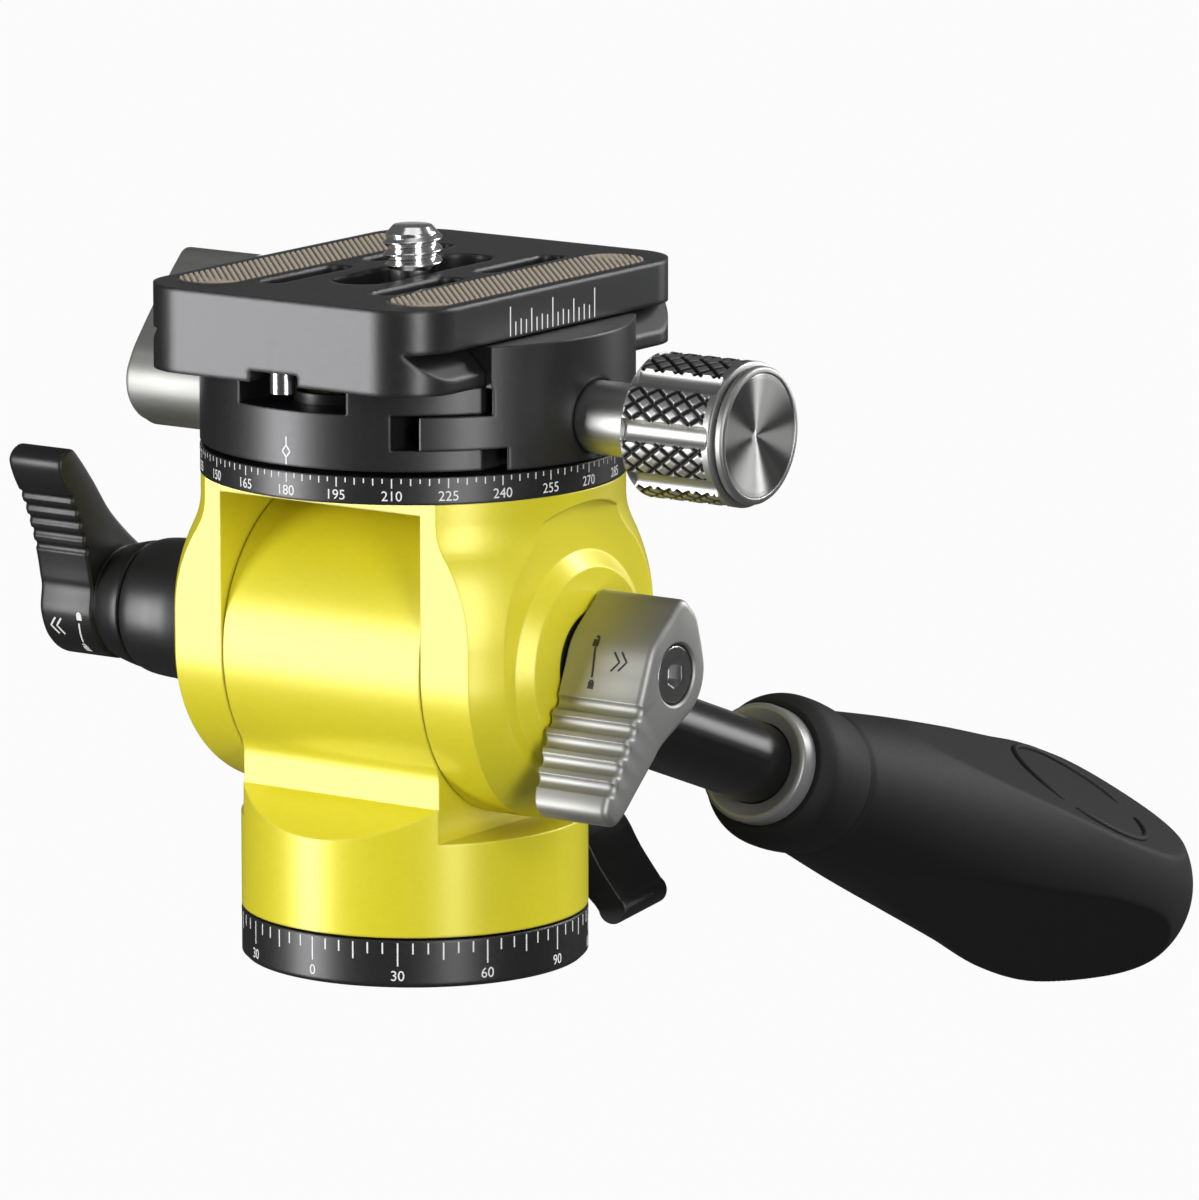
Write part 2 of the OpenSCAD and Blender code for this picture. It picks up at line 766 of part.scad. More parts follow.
module dial_ring() {
    color(black) difference() {
        rotate_extrude() polygon([
            [0, yoke_top_z], [dial_r, yoke_top_z], [dial_r, dial_top_z], [hub_r, dial_top_z], [hub_r, hub_step_z],
            [hub_neck_r, hub_step_z], [hub_neck_r, hub_top_z], [0, hub_top_z]
        ]);
        translate([0, 0, dial_top_z - 1]) cylinder(r = pano_screw_r + fit, h = 3 * clamp_h);
        at_dial_screws() {
            translate([0, 0, yoke_top_z - past]) cylinder(r = table_screw_r + fit, h = dial_h + 2 * past);
            translate([0, 0, dial_top_z - 1.5]) cylinder(r1 = table_screw_r + fit, r2 = table_screw_head_r + 2 * fit, h = 1.5 + fit);
        }
    }
}

module dial_screws() {
    color(steel) at_dial_screws() translate([0, 0, dial_top_z]) rotate_extrude() polygon([
        [0, -0.1], [table_screw_head_r - 0.1, -0.1], [table_screw_r, -1.5], [table_screw_r, -table_screw_l], [0, -table_screw_l]
    ]);
}

module hub_keeper_disc() {
    color(steel) difference() {
        tube(counterbore_r - 0.2, pano_screw_r + 0.1, hub_top_z + fit, hub_top_z + keeper_disc_t);
        translate([0, 0, hub_top_z + fit]) cylinder(r1 = pano_screw_r, r2 = pano_screw_head_r, h = keeper_disc_t + fit);
    }
}

module hub_screw() {
    color(steel) rotate_extrude() polygon([
        [0, dial_top_z - 0.5], [pano_screw_r, dial_top_z - 0.5], [pano_screw_r, hub_top_z + 4 * fit],
        [pano_screw_head_r - 0.2, hub_top_z + keeper_disc_t + fit], [pano_screw_head_r - 0.2, hub_top_z + keeper_disc_t + 0.4],
        [0, hub_top_z + keeper_disc_t + 0.4]
    ]);
}

// Tilt drag lever, right

module drag_lever() {
    color(satin) difference() {
        union() {
            bar_x(lever_hub_r, lever_x, lever_end, 0, tilt_z);
            translate([0, 0, tilt_z]) along_x(lever_x, lever_end)
                rotate(drag_angle) mirror([0, 1]) paddle_outline(lever_hub_r, drag_len, lever_tip_r, 1.27, 0.62);
        }
        translate([0, 0, tilt_z]) rotate([drag_angle, 0, 0]) paddle_thinning(drag_len, lever_x, 1);
        translate([lever_end, 0, tilt_z]) rotate([0, 90, 0]) cap_screw_room();
        bar_x(stud_r + fit, lever_x - past, lever_x + stud_room, 0, tilt_z);
    }
}

module drag_stud() {
    color(steel) bar_x(stud_r, ear_in + 2, lever_x + stud_room - fit, 0, tilt_z);
}

module drag_lever_screw() {
    color(steel) translate([lever_end - cap_sink, 0, tilt_z]) rotate([0, 90, 0]) cap_screw();
}

// Tilt lock lever, left

module lock_lever() {
    color(black) difference() {
        union() {
            bar_x(lock_hub_r, -lock_blade_x - past, -lock_x, 0, tilt_z);
            translate([0, 0, tilt_z]) along_x(-lock_end, -lock_blade_x)
                rotate(lock_angle) hook_outline(lock_hub_r, lock_len, lock_tip_r);
        }
        translate([-lock_end, 0, tilt_z]) rotate([0, -90, 0]) cap_screw_room();
        bar_x(stud_r + fit, -lock_x - stud_room, -lock_x + past, 0, tilt_z);
    }
}

module lock_stud() {
    color(steel) bar_x(stud_r, -lock_x - stud_room + fit, -ear_in - 2, 0, tilt_z);
}

module lock_lever_screw() {
    color(steel) translate([-lock_end + cap_sink, 0, tilt_z]) rotate([0, -90, 0]) cap_screw();
}

// Handle

module handle_stud() {
    color(steel) on_handle() translate([0, 0, handle_stud_from])
        cylinder(r = handle_stud_r, h = rod_seat - handle_stud_from + rod_stud_l);
}

module handle_rod() {
    color(black) on_handle() difference() {
        translate([0, 0, rod_seat + fit]) cylinder(r = rod_r, h = rod_end - rod_seat);
        translate([0, 0, rod_seat - past]) cylinder(r = handle_stud_r + fit, h = rod_stud_l + past + 0.2);
    }
}

module handle_ferrule() {
    color(satin) on_handle() rotate_extrude() polygon([
        [rod_r + 0.9, grip_start], [ferrule_r - 0.6, grip_start], [ferrule_r, grip_start + 0.8], [ferrule_r, grip_start + ferrule_l],
        [rod_r + fit, grip_start + ferrule_l], [rod_r + fit, grip_start + 1.2]
    ]);
}

// Turned outline of the grip, radius against distance along the handle
module grip_profile() {
    inner = ferrule_r + fit;
    along = grip_end - bead_end;
    outline = curve([
        [bead_r - 1.3, bead_start], [bead_r - 0.2, bead_start + 1.8], [bead_r, bead_start + 4.2], [bead_r - 0.15, bead_start + 7],
        [bead_r - 0.45, bead_end], [0.698 * grip_r, bead_end + 0.16 * along], [0.796 * grip_r, bead_end + 0.33 * along],
        [0.893 * grip_r, bead_end + 0.5 * along], [0.985 * grip_r, bead_end + 0.64 * along], [0.968 * grip_r, bead_end + 0.78 * along],
        [0.75 * grip_r, bead_end + 0.9 * along], [0.585 * grip_r, bead_end + 0.955 * along], [0.36 * grip_r, bead_end + 0.988 * along],
        [0, grip_end]
    ], 4);
    polygon(concat([
        [0, rod_end + 0.3], [rod_r + fit, rod_end + 0.3], [rod_r + fit, grip_start + ferrule_l + fit],
        [inner, grip_start + ferrule_l + fit], [inner, bead_start]
    ], outline));
}

// A flat face along the grip: the block that is taken off beyond it
module grip_flat(around) {
    rotate(around) translate([-2 * grip_r, grip_flat_r, grip_start]) cube([4 * grip_r, 2 * grip_r, 2 * grip_l]);
}

module handle_grip() {
    color(rubber) on_handle() difference() {
        rotate_extrude() grip_profile();
        for (i = [0:2]) grip_flat(180 + grip_turn + 120 * i);
    }
}

// Panorama clamp

// The dovetail's room in X and Z, with the sliding clearance round the plate
module dovetail_room(gap) {
    lean = gap * (sqrt(2) - 1);
    polygon([
        [0, floor_z], [dovetail_half + gap, floor_z], [dovetail_half + gap, undercut_z + lean],
        [dovetail_half - dovetail_d + gap, slab_z + lean], [0, slab_z + lean]
    ]);
}

module clamp_body() {
    color(black) difference() {
        translate([0, 0, clamp_z]) cylinder(r = clamp_r, h = jaw_top_z - clamp_z);
        along_y(2 * clamp_r) mirror([1, 0]) dovetail_room(slide_fit);
        translate([-dovetail_half + dovetail_d, -2 * clamp_r, floor_z]) cube([3 * clamp_r, 4 * clamp_r, 2 * clamp_h]);
        translate([jaw_body_x, -2 * clamp_r, clamp_z - past]) cube([2 * clamp_r, 4 * clamp_r, 2 * clamp_h]);
        translate([slot_end_x, -2 * clamp_r, tongue_z - tongue_half - slide_fit])
            cube([2 * clamp_r, 4 * clamp_r, 2 * tongue_half + 2 * slide_fit]);
        translate([0, 0, clamp_z - past]) cylinder(r = hub_r + 0.05, h = hub_step_z + fit - clamp_z + past);
        translate([0, 0, clamp_z - past]) cylinder(r = hub_neck_r + 0.05, h = 2 * clamp_h);
        translate([0, 0, groove_z]) cylinder(r = counterbore_r, h = clamp_h);
        for (side = [-1, 1]) translate([-stop_groove_w / 2, side > 0 ? stop_groove_end : -2 * clamp_r, groove_z])
            cube([stop_groove_w, 2 * clamp_r - stop_groove_end, clamp_h]);
        bar_x(clamp_screw_r + fit, hub_r - past, 2 * clamp_r, 0, screw_z);
        for (side = [-1, 1]) bar_x(pin_r + fit, slot_end_x - pin_in, 2 * clamp_r, side * pin_y, tongue_z);
        bar_x(pano_stud_r + 0.05, -2 * clamp_r, -hub_r + past, 0, pano_z);
        translate([0, level_y, groove_z - level_sink]) cylinder(r = level_r + fit, h = clamp_h);
    }
}

module jaw_guide_pins() {
    color(steel) for (side = [-1, 1])
        bar_x(pin_r, slot_end_x - pin_in + fit, jaw_body_x - 0.5, side * pin_y, tongue_z);
}

module level_case() {
    color(black) translate([0, level_y, groove_z - level_sink + fit]) difference() {
        cylinder(r = level_r, h = level_h);
        translate([0, 0, level_wall]) cylinder(r = level_r - level_wall, h = level_h);
    }
}

module level_vial() {
    color(level_green) translate([0, level_y, groove_z - level_sink + level_wall + 2 * fit])
        cylinder(r = level_r - level_wall - fit, h = level_h - level_wall - 0.15);
}

module moving_jaw() {
    pin_hole_end = jaw_body_x + 0.1;
    color(black) difference() {
        intersection() {
            translate([jaw_shift, 0, clamp_z]) cylinder(r = clamp_r, h = jaw_top_z - clamp_z);
            union() {
                difference() {
                    translate([jaw_body_x - dovetail_d, -lip_half, floor_z]) cube([clamp_r, 2 * lip_half, clamp_h]);
                    along_y(2 * clamp_r) dovetail_room(slide_fit);
                }
                translate([finger_x, -clamp_r, clamp_z]) cube([clamp_r, 2 * clamp_r, floor_z - clamp_z + fit]);
                translate([tongue_x, -clamp_r, tongue_z - tongue_half]) cube([clamp_r, 2 * clamp_r, 2 * tongue_half]);
            }
        }
        translate([0, -2 * clamp_r, clamp_z - past]) cube([heel_x, 4 * clamp_r, tongue_z - tongue_half - clamp_z + past]);
        bar_x(clamp_screw_r + slide_fit, 0, 2 * clamp_r, 0, screw_z);
        bar_x(stem_r + 0.3, knob_seat_x, 2 * clamp_r, 0, screw_z);
        for (side = [-1, 1]) bar_x(pin_r + 0.05, 0, pin_hole_end, side * pin_y, tongue_z);
    }
}

// Clamp knob

module clamp_knob() {
    color(steel) difference() {
        translate([0, 0, screw_z]) rotate([0, 90, 0]) rotate_extrude() polygon([
            [clamp_screw_r + fit, knob_seat_x + fit], [stem_r, knob_seat_x + fit], [stem_r, knob_x],
            [knob_r - knob_edge, knob_x], [knob_r, knob_x + knob_edge], [knob_r, knob_end_x - knob_edge],
            [knob_r - knob_edge, knob_end_x], [end_disc_r + fit, knob_end_x], [end_disc_r + fit, knob_end_x - end_disc_d],
            [0, knob_end_x - end_disc_d], [0, knob_x + 3], [clamp_screw_r + fit, knob_x + 3]
        ]);
        for (i = [0:knob_flutes - 1]) translate([0, 0, screw_z]) rotate([i * 360 / knob_flutes + 7, 0, 0])
            bar_x(flute_r, knob_x - past, knob_end_x + past, 0, knob_r + flute_r - flute_d);
    }
}

module clamp_screw() {
    color(steel) bar_x(clamp_screw_r, hub_r + 0.4, knob_x + 3 - fit, 0, screw_z);
}

module knob_end_disc() {
    color(steel) translate([0, 0, screw_z]) rotate([0, 90, 0]) rotate_extrude() polygon([
        [0, knob_end_x - end_disc_d + fit], [end_disc_r, knob_end_x - end_disc_d + fit], [end_disc_r, knob_end_x - 0.1],
        [end_disc_r - 0.5, knob_end_x - 0.1], [0, knob_end_x - 0.6]
    ]);
}

// Panorama lock lever

module pano_lever() {
    color(satin) difference() {
        union() {
            bar_x(pano_hub_r, -pano_end, -pano_x, 0, pano_z);
            translate([0, 0, pano_z]) along_x(-pano_end, -pano_x)
                rotate(pano_angle) mirror([0, 1]) paddle_outline(pano_hub_r, pano_len, lever_tip_r, 0.9, 0.92);
        }
        translate([0, 0, pano_z]) rotate([pano_angle, 0, 0]) paddle_thinning(pano_len, -pano_x, -1);
        translate([-pano_end, 0, pano_z]) rotate([0, -90, 0]) cap_screw_room();
        bar_x(pano_stud_r + fit, -pano_x - stud_room, -pano_x + past, 0, pano_z);
    }
}

module pano_stud() {
    color(steel) bar_x(pano_stud_r, -pano_x - stud_room + fit, -hub_r - pano_pad_l - 0.2, 0, pano_z);
}

module pano_brake_pad() {
    color(brass) bar_x(pano_stud_r - 0.1, -hub_r - pano_pad_l - 0.15, -hub_r - 0.1, 0, pano_z);
}

module pano_lever_screw() {
    color(steel) translate([-pano_end + cap_sink, 0, pano_z]) rotate([0, -90, 0]) cap_screw();
}

// Dovetail plate

module dovetail_plate() {
    groove = plate_l;
    color(black) difference() {
        translate([0, 0, plate_z]) linear_extrude(plate_h) rounded(plate_w, plate_l, plate_corner);
        for (side = [0, 1]) mirror([side, 0, 0]) along_y(groove) polygon([
            [dovetail_half + past, undercut_z - past], [dovetail_half - dovetail_d, slab_z], [dovetail_half + past, slab_z]
        ]);
        translate([0, 0, plate_z - past]) linear_extrude(plate_h + 2 * past) {
            slot(centre_slot_w, -(centre_slot_l - centre_slot_w) / 2, (centre_slot_l - centre_slot_w) / 2);
            for (x = [-1, 1], y = [-1, 1]) translate([x * side_slot_x, 0]) scale([1, y])
                slot(side_slot_w, side_slot_from + side_slot_w / 2, side_slot_to - side_slot_w / 2);
        }
        translate([0, 0, plate_z - past]) linear_extrude(head_roof_z - plate_z + past)
            slot(head_slot_w, -(centre_slot_l - centre_slot_w) / 2, (centre_slot_l - centre_slot_w) / 2);
        for (side = [-1, 1]) {
            translate([side * strip_x, 0, plate_top_z - strip_sink]) linear_extrude(plate_h) rounded(strip_w + 0.1, strip_l + 0.1, strip_w / 2 - 0.2);
            translate([0, side * stop_screw_y, plate_z - past]) cylinder(r = stop_screw_r + fit, h = plate_h / 2 + past);
            translate([-stop_notch_w / 2, side > 0 ? stop_screw_y - stop_notch_w / 2 : -plate_l, plate_z - past])
                cube([stop_notch_w, plate_l - stop_screw_y + stop_notch_w / 2, past + stop_notch_h]);
        }
    }
}

module plate_grip_strips() {
    color(strip_tan) for (side = [-1, 1]) translate([side * strip_x, 0, plate_top_z - strip_sink + fit])
        linear_extrude(strip_sink + strip_rise - fit) rounded(strip_w, strip_l, strip_w / 2 - 0.25);
}

module stop_screws() {
    color(steel) for (side = [-1, 1]) translate([0, side * stop_screw_y, plate_z - stop_screw_drop])
        cylinder(r = stop_screw_r, h = plate_h / 2 + stop_screw_drop - 0.2);
}

module screw_clip() {
    clip_z = head_roof_z - clip_t - fit;
    color(steel) tube(head_r, neck_r + slide_fit, clip_z, clip_z + clip_t);
}

module camera_screw() {
    head_z = head_roof_z - clip_t - 3 * fit - head_h;
    tip = 0.8;
    color(steel) difference() {
        rotate_extrude() polygon([
            [0, head_z], [head_r - 0.2, head_z], [head_r, head_z + 0.2], [head_r, head_z + head_h], [neck_r, head_z + head_h],
            [neck_r, plate_top_z + 0.2], [camera_r, plate_top_z + 0.2], [camera_r, plate_top_z + camera_h - tip],
            [camera_r - tip, plate_top_z + camera_h], [0, plate_top_z + camera_h]
        ]);
        translate([-head_r - past, -0.7, head_z - past]) cube([2 * head_r + 2 * past, 1.4, past + 1.4]);
    }
}

base_ring();
pan_spindle();
tripod_insert();
base_screws();
lower_body();
pan_keeper_ring();
pan_friction_washers();
drum_end_covers();
tilt_bushes();
damper_stator();
pan_lever();
pan_lock_stud();
pan_brake_pad();
pan_lever_screw();
yoke();
tilt_shaft();
damper_rotor();
tilt_friction_discs();
drag_spring_washers();
lock_collar();
dial_ring();
dial_screws();
hub_keeper_disc();
hub_screw();
drag_lever();
drag_stud();
drag_lever_screw();
lock_lever();
lock_stud();
lock_lever_screw();
handle_stud();
handle_rod();
handle_ferrule();
handle_grip();
clamp_body();
jaw_guide_pins();
level_case();
level_vial();
pano_lever();
pano_stud();
pano_brake_pad();
pano_lever_screw();
moving_jaw();
clamp_knob();
clamp_screw();
knob_end_disc();
dovetail_plate();
plate_grip_strips();
stop_screws();
screw_clip();
camera_screw();
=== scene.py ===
"""Looks of the compact fluid video head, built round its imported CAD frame.

Lengths inside the shape functions are millimetres in the part's own frame: X along the
tilt axis, Y back along the handle, Z up, origin in the middle of the tripod face.
"""

import json

import bpy
import numpy as np
from mathutils import Matrix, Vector
from mathutils.geometry import delaunay_2d_cdt


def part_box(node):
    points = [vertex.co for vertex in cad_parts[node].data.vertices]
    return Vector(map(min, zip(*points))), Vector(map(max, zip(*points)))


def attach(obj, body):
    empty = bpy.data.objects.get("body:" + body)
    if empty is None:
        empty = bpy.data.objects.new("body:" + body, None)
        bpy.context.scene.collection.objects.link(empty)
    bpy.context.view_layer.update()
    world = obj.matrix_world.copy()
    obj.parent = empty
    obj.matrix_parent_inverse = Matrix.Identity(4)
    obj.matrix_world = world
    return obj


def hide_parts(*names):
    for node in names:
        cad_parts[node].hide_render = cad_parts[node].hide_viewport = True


bl_info = {
    "name": "Fluid video head looks",
    "version": (1, 0, 0),
    "blender": (4, 5, 0),
    "location": "3D View > Sidebar > Fluid head",
    "description": "Finishes, knurling, threads, scales and studio for the fluid video head",
    "category": "Object",
}

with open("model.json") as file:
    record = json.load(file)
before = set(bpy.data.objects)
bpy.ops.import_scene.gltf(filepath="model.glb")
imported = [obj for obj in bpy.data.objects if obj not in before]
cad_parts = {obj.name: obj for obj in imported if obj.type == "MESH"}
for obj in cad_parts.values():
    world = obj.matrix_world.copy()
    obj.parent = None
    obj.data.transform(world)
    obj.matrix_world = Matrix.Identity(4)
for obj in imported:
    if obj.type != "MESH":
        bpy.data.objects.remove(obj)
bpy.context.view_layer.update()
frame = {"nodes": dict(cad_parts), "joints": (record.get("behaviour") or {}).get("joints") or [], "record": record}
MM = 0.001
TURN = 2 * np.pi

# Y and Z of the axes that the levers turn about
TILT_AXIS = (0, 34.0)
PANO_STUD = (0, 59.4)

# Length of each satin lever's tail, and its direction in degrees from Y towards Z
DRAG_TAIL = (16.6, -132)
PANO_TAIL = (12.8, 61)

# Counterbores for the levers' screws
SCREW_RADIUS = 3.3
SCREW_DEPTH = 2.9

# Rounding of a lever's inner edges, the angle in degrees up to which levers are shaded smooth, and the
# number of points round a lever's outline
INNER_EDGE = 0.35
LEVER_SHARP = 28
LOOP_POINTS = 560

# Radius of the bores that take the handle's rod
ROD_BORE = 4.53

# The grip's first flat: its angle about the handle, and its distance from the axis
FIRST_FLAT = np.radians(29.6)
FLAT_HEIGHT = 9.69

# How far printed marks start outside a scale's surface and a lever's front
MARK_GAP = 0.005
SIGN_GAP = 0.02

# Each finish: colour, metallic, roughness, grain in X, Y and Z, streak, bump, edge rounding, strength of the
# lighter edge tone (partly wear, partly painted highlight), and coat where given
FINISHES = {
    "yellow_anodised": ("yellow", 0.15, 0.38, (0.9, 0.5, 0.5), 0.04, 0.05, 0.35, 0.3, 0.45),
    "black_anodised": ("black", 0.85, 0.37, (0.5, 0.5, 0.5), 0.06, 0.06, 0.4, 0.08),
    "plate_black": ("black", 0.85, 0.37, (0.5, 0.5, 0.5), 0.06, 0.06, 0.7, 0.05),
    "rod_black": ((0.03, 0.03, 0.031), 0.7, 0.24, (0.4, 2, 0.4), 0.05, 0.03, 0.3, 0.05),
    "black_lever": ((0.048, 0.048, 0.049), 0.8, 0.38, (0.5, 0.5, 0.5), 0.06, 0.05, 0.3, 0.12),
    "satin_lever": ("satin", 1.0, 0.54, (2.5, 0.18, 0.18), 0.05, 0.06, 0.2, 0.1),
    "knob_steel": ("steel", 1.0, 0.42, (3, 0.2, 0.2), 0.05, 0.04, 0.1, 0.1),
    "knob_face_steel": ("steel", 1.0, 0.36, (9, 0.12, 0.12), 0.03, 0.04, 0.15, 0.1),
    "ferrule_grey": ((0.27, 0.27, 0.27), 0.5, 0.36, (0.3, 2, 2), 0.05, 0.05, 0.2, 0.2),
    "screw_chrome": ((0.86, 0.86, 0.86), 1.0, 0.2, (0.6, 0.6, 0.6), 0.04, 0.02, 0.08, 0.0),
    "screw_steel": ((0.6, 0.6, 0.6), 1.0, 0.24, (0.2, 0.9, 0.9), 0.04, 0.02, 0.2, 0.3),
    "inner_steel": ((0.52, 0.52, 0.53), 1.0, 0.3, (1.5, 0.3, 0.3), 0.06, 0.06, 0.15, 0.1),
    "inner_aluminium": ((0.7, 0.7, 0.71), 1.0, 0.36, (0.3, 0.8, 0.8), 0.06, 0.06, 0.15, 0.1),
    "bearing_brass": ((0.62, 0.43, 0.14), 1.0, 0.3, (0.8, 0.3, 0.3), 0.08, 0.05, 0.15, 0.1),
    "friction_fibre": ((0.2, 0.13, 0.07), 0.0, 0.75, (0.25, 0.25, 0.25), 0.2, 0.4, 0.1, 0.05),
    "grip_rubber": ("rubber", 0.0, 0.66, (0.2, 0.2, 0.2), 0.08, 0.12, 0.4, 0.01),
    "strip_rubber": ("strip", 0.0, 0.72, (0.15, 0.15, 0.15), 0.14, 0.3, 0.05, 0.0),
    "level_fluid": ((0.36, 0.62, 0.05), 0.0, 0.12, (1.5, 1.5, 1.5), 0.05, 0.0, 0.2, 0.0),
    "white_mark": ("mark", 0.0, 0.5, (0.3, 0.3, 0.3), 0.05, 0.05, 0.01, 0.0),
    "black_mark": ((0.02, 0.02, 0.02), 0.0, 0.5, (0.3, 0.3, 0.3), 0.1, 0.05, 0.01, 0.0),
}

# Nodes whose finish differs a little from that of their slot
OWN_FINISH = {"dovetail_plate": "plate_black", "handle_rod": "rod_black"}

# The photograph's camera: its right, up and backward directions, its place, and where it looks
CAMERA_AXES = ((0.82304, 0.56798, 0), (-0.1075, 0.1558, 0.9819), (0.55771, -0.80816, 0.18929))
CAMERA_PLACE = (0.569678, -0.790568, 0.226088)
LOOKING = (-0.558, 0.808, -0.189)

# Each light: azimuth, elevation, distance, width and height, in degrees and metres
LIGHTS = {
    "key": (-36, -9, 0.75, 0.28, 0.7),
    "side": (60, 8, 0.8, 0.22, 0.6),
    "rim": (147, 30, 0.8, 0.14, 0.4),
    "back": (158, 10, 0.8, 0.2, 0.4),
    "top": (34.6, 79, 0.7, 0.6, 0.16),
}

# The point that all lights face, and how far the floor reaches from the middle
LIT_POINT = (0, 0.02, 0.035)
FLOOR_REACH = 12.0


# Sizes and colours

def length_setting(name, description, default):
    """A length in metres, shown down to a thousandth of a millimetre."""
    return bpy.props.FloatProperty(name=name, description=description, default=default, unit="LENGTH",
                                   precision=6)


def colour_setting(name, description, default):
    """A colour in linear light."""
    return bpy.props.FloatVectorProperty(name=name, description=description, default=default,
                                         subtype="COLOR", size=3, min=0, max=1)


def power_setting(name, description, default):
    """The power of a light, in watts."""
    return bpy.props.FloatProperty(name=name, description=description, default=default, unit="POWER")


class HeadSizes(bpy.types.PropertyGroup):
    """Sizes of the details that the CAD solids leave plain."""

    knurl_depth: length_setting("Knurl depth", "Depth of the grooves between the knob's diamonds",
                                0.00026)
    knurl_length: length_setting("Knurl length", "Length of one diamond along the knob", 0.0024)
    thread_pitch: length_setting("Thread pitch", "Pitch of the camera screw, twenty turns to the inch",
                                 0.00127)
    rib_pitch: length_setting("Rib pitch", "Distance between the slanting ribs of the grip strips",
                              0.00064)
    rib_depth: length_setting("Rib depth", "Depth of the grooves between those ribs", 0.00024)
    chamfer: length_setting("Lever chamfer", "Bevel along the outer edges of the levers", 0.0008)
    mark_height: length_setting("Mark height", "Thickness of the printed marks", 0.00003)


class HeadColours(bpy.types.PropertyGroup):
    """Base colours of the finishes, in linear light."""

    yellow: colour_setting("Yellow anodising", "Body and yoke", (0.73, 0.65, 0.022))
    black: colour_setting("Black anodising", "Clamp, plate, rings and collar", (0.068, 0.068, 0.0695))
    satin: colour_setting("Satin grey", "Drag lever and panorama lever", (0.42, 0.42, 0.405))
    steel: colour_setting("Knob steel", "Clamp knob and its end disc", (0.47, 0.47, 0.465))
    rubber: colour_setting("Grip rubber", "Handle grip", (0.006, 0.006, 0.0062))
    strip: colour_setting("Strip rubber", "Ribbed strips in the plate", (0.36, 0.308, 0.245))
    mark: colour_setting("White marks", "Scales and signs", (0.78, 0.78, 0.78))


class HeadStage(bpy.types.PropertyGroup):
    """Camera, floor and studio light."""

    lens: bpy.props.FloatProperty(
        name="Lens", description="Focal length of the camera, in millimetres on a 36 mm frame",
        default=278.19)
    floor_drop: length_setting("Floor", "How far the floor lies below the tripod face", 0.22)
    key_power: power_setting("Key light", "Power of the large soft light in front, to the left", 6.6)
    side_power: power_setting("Side light", "Power of the weaker soft light on the right", 3.6)
    rim_power: power_setting("Rim light", "Power of the high soft light behind, to the right", 3.0)
    back_power: power_setting("Back light", "Power of the low soft light behind", 1.4)
    top_power: power_setting("Top light", "Power of the narrow soft light overhead", 0.34)


# Meshes from whole arrays

def ring_skin(rings, start=None, end=None):
    """Rings of points (rows, columns, 3), each joined to the next by quads round a closed loop.
    A start or end point closes that end with a fan. Returns points, quads and triangles."""
    rows, columns = rings.shape[:2]
    points = rings.reshape(-1, 3)
    along = np.arange(rows - 1)[:, None] * columns
    here = np.arange(columns)[None, :]
    following = (here + 1) % columns
    above = along + columns
    quads = np.stack([along + here, along + following, above + following, above + here], -1)
    fans = []
    if start is not None:
        pole = np.full(columns, len(points))
        fans.append(np.stack([pole, following[0], here[0]], 1))
        points = np.vstack([points, [start]])
    if end is not None:
        pole = np.full(columns, len(points))
        last = (rows - 1) * columns
        fans.append(np.stack([pole, last + here[0], last + following[0]], 1))
        points = np.vstack([points, [end]])
    triangles = np.concatenate(fans) if fans else np.zeros((0, 3), int)
    return points, quads.reshape(-1, 4), triangles


def facing_out(points, quads, triangles):
    """Turns all faces round if the volume that they enclose comes out negative."""
    fans = np.concatenate([quads[:, [0, 1, 2]], quads[:, [0, 2, 3]], triangles])
    a, b, c = np.moveaxis(points[fans], 1, 0)
    if (np.cross(a, b) * c).sum() < 0:
        return points, quads[:, ::-1], triangles[:, ::-1]
    return points, quads, triangles


def new_piece(name, points, faces, material):
    """An object at the origin whose mesh holds these points (millimetres) and lists of faces."""
    mesh = bpy.data.meshes.new(name)
    mesh.from_pydata((points * MM).tolist(), [], faces)
    mesh.materials.append(material)
    piece = bpy.data.objects.new(name, mesh)
    bpy.context.scene.collection.objects.link(piece)
    return piece


def smooth_piece(name, skin, material, sharp=35):
    """A closed skin with its faces outward, shaded smooth up to this angle between faces, in
    degrees."""
    points, quads, triangles = facing_out(*skin)
    piece = new_piece(name, points, quads.tolist() + triangles.tolist(), material)
    piece.data.polygons.foreach_set("use_smooth", np.ones(len(piece.data.polygons), bool))
    piece.data.set_sharp_from_angle(angle=np.radians(sharp))
    return piece


def closed_piece(name, skin, body, node, slot, sharp=35, groove=None):
    """A closed skin that stands for a CAD node in its slot's finish and rides on the node's body.
    Groove values, one for each point of the rings, go with the mesh for the finishes that paint shade
    into grooves."""
    piece = smooth_piece(name, skin, finish_named(slot), sharp)
    if groove is not None:
        depth = np.zeros(len(piece.data.vertices), np.float32)
        depth[:groove.size] = groove.ravel()
        piece.data.attributes.new("groove", "FLOAT", "POINT").data.foreach_set("value", depth)
    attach(piece, body)
    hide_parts(node)


def catmull_rom(a, b, c, d, steps):
    """Points from b to c on the smooth curve through a, b, c and d, for whole arrays of such fours."""
    a, b, c, d = a[:, None], b[:, None], c[:, None], d[:, None]
    t = np.linspace(0, 1, steps, endpoint=False)[None, :, None]
    bend = (2 * a - 5 * b + 4 * c - d) * t ** 2 + (3 * b - a - 3 * c + d) * t ** 3
    return (0.5 * (2 * b + (c - a) * t + bend)).reshape(-1, b.shape[-1])


def smooth_open(points, steps):
    """Catmull-Rom curve through the given points, with this many steps between neighbours."""
    p = np.asarray(points, float)
    before = np.vstack([p[:1], p[:-2]])
    after = np.vstack([p[2:], p[-1:]])
    return np.vstack([catmull_rom(before, p[:-1], p[1:], after, steps), p[-1:]])


def smooth_loop(points, count):
    """Closed Catmull-Rom curve through the given points, at equal steps of its length."""
    p = np.asarray(points, float)
    q = catmull_rom(*[np.roll(p, k, 0) for k in (1, 0, -1, -2)], 24)
    q = np.vstack([q, q[:1]])
    length = np.concatenate([[0], np.cumsum(np.linalg.norm(np.diff(q, axis=0), axis=1))])
    at = np.linspace(0, length[-1], count, endpoint=False)
    return np.stack([np.interp(at, length, q[:, 0]), np.interp(at, length, q[:, 1])], 1)


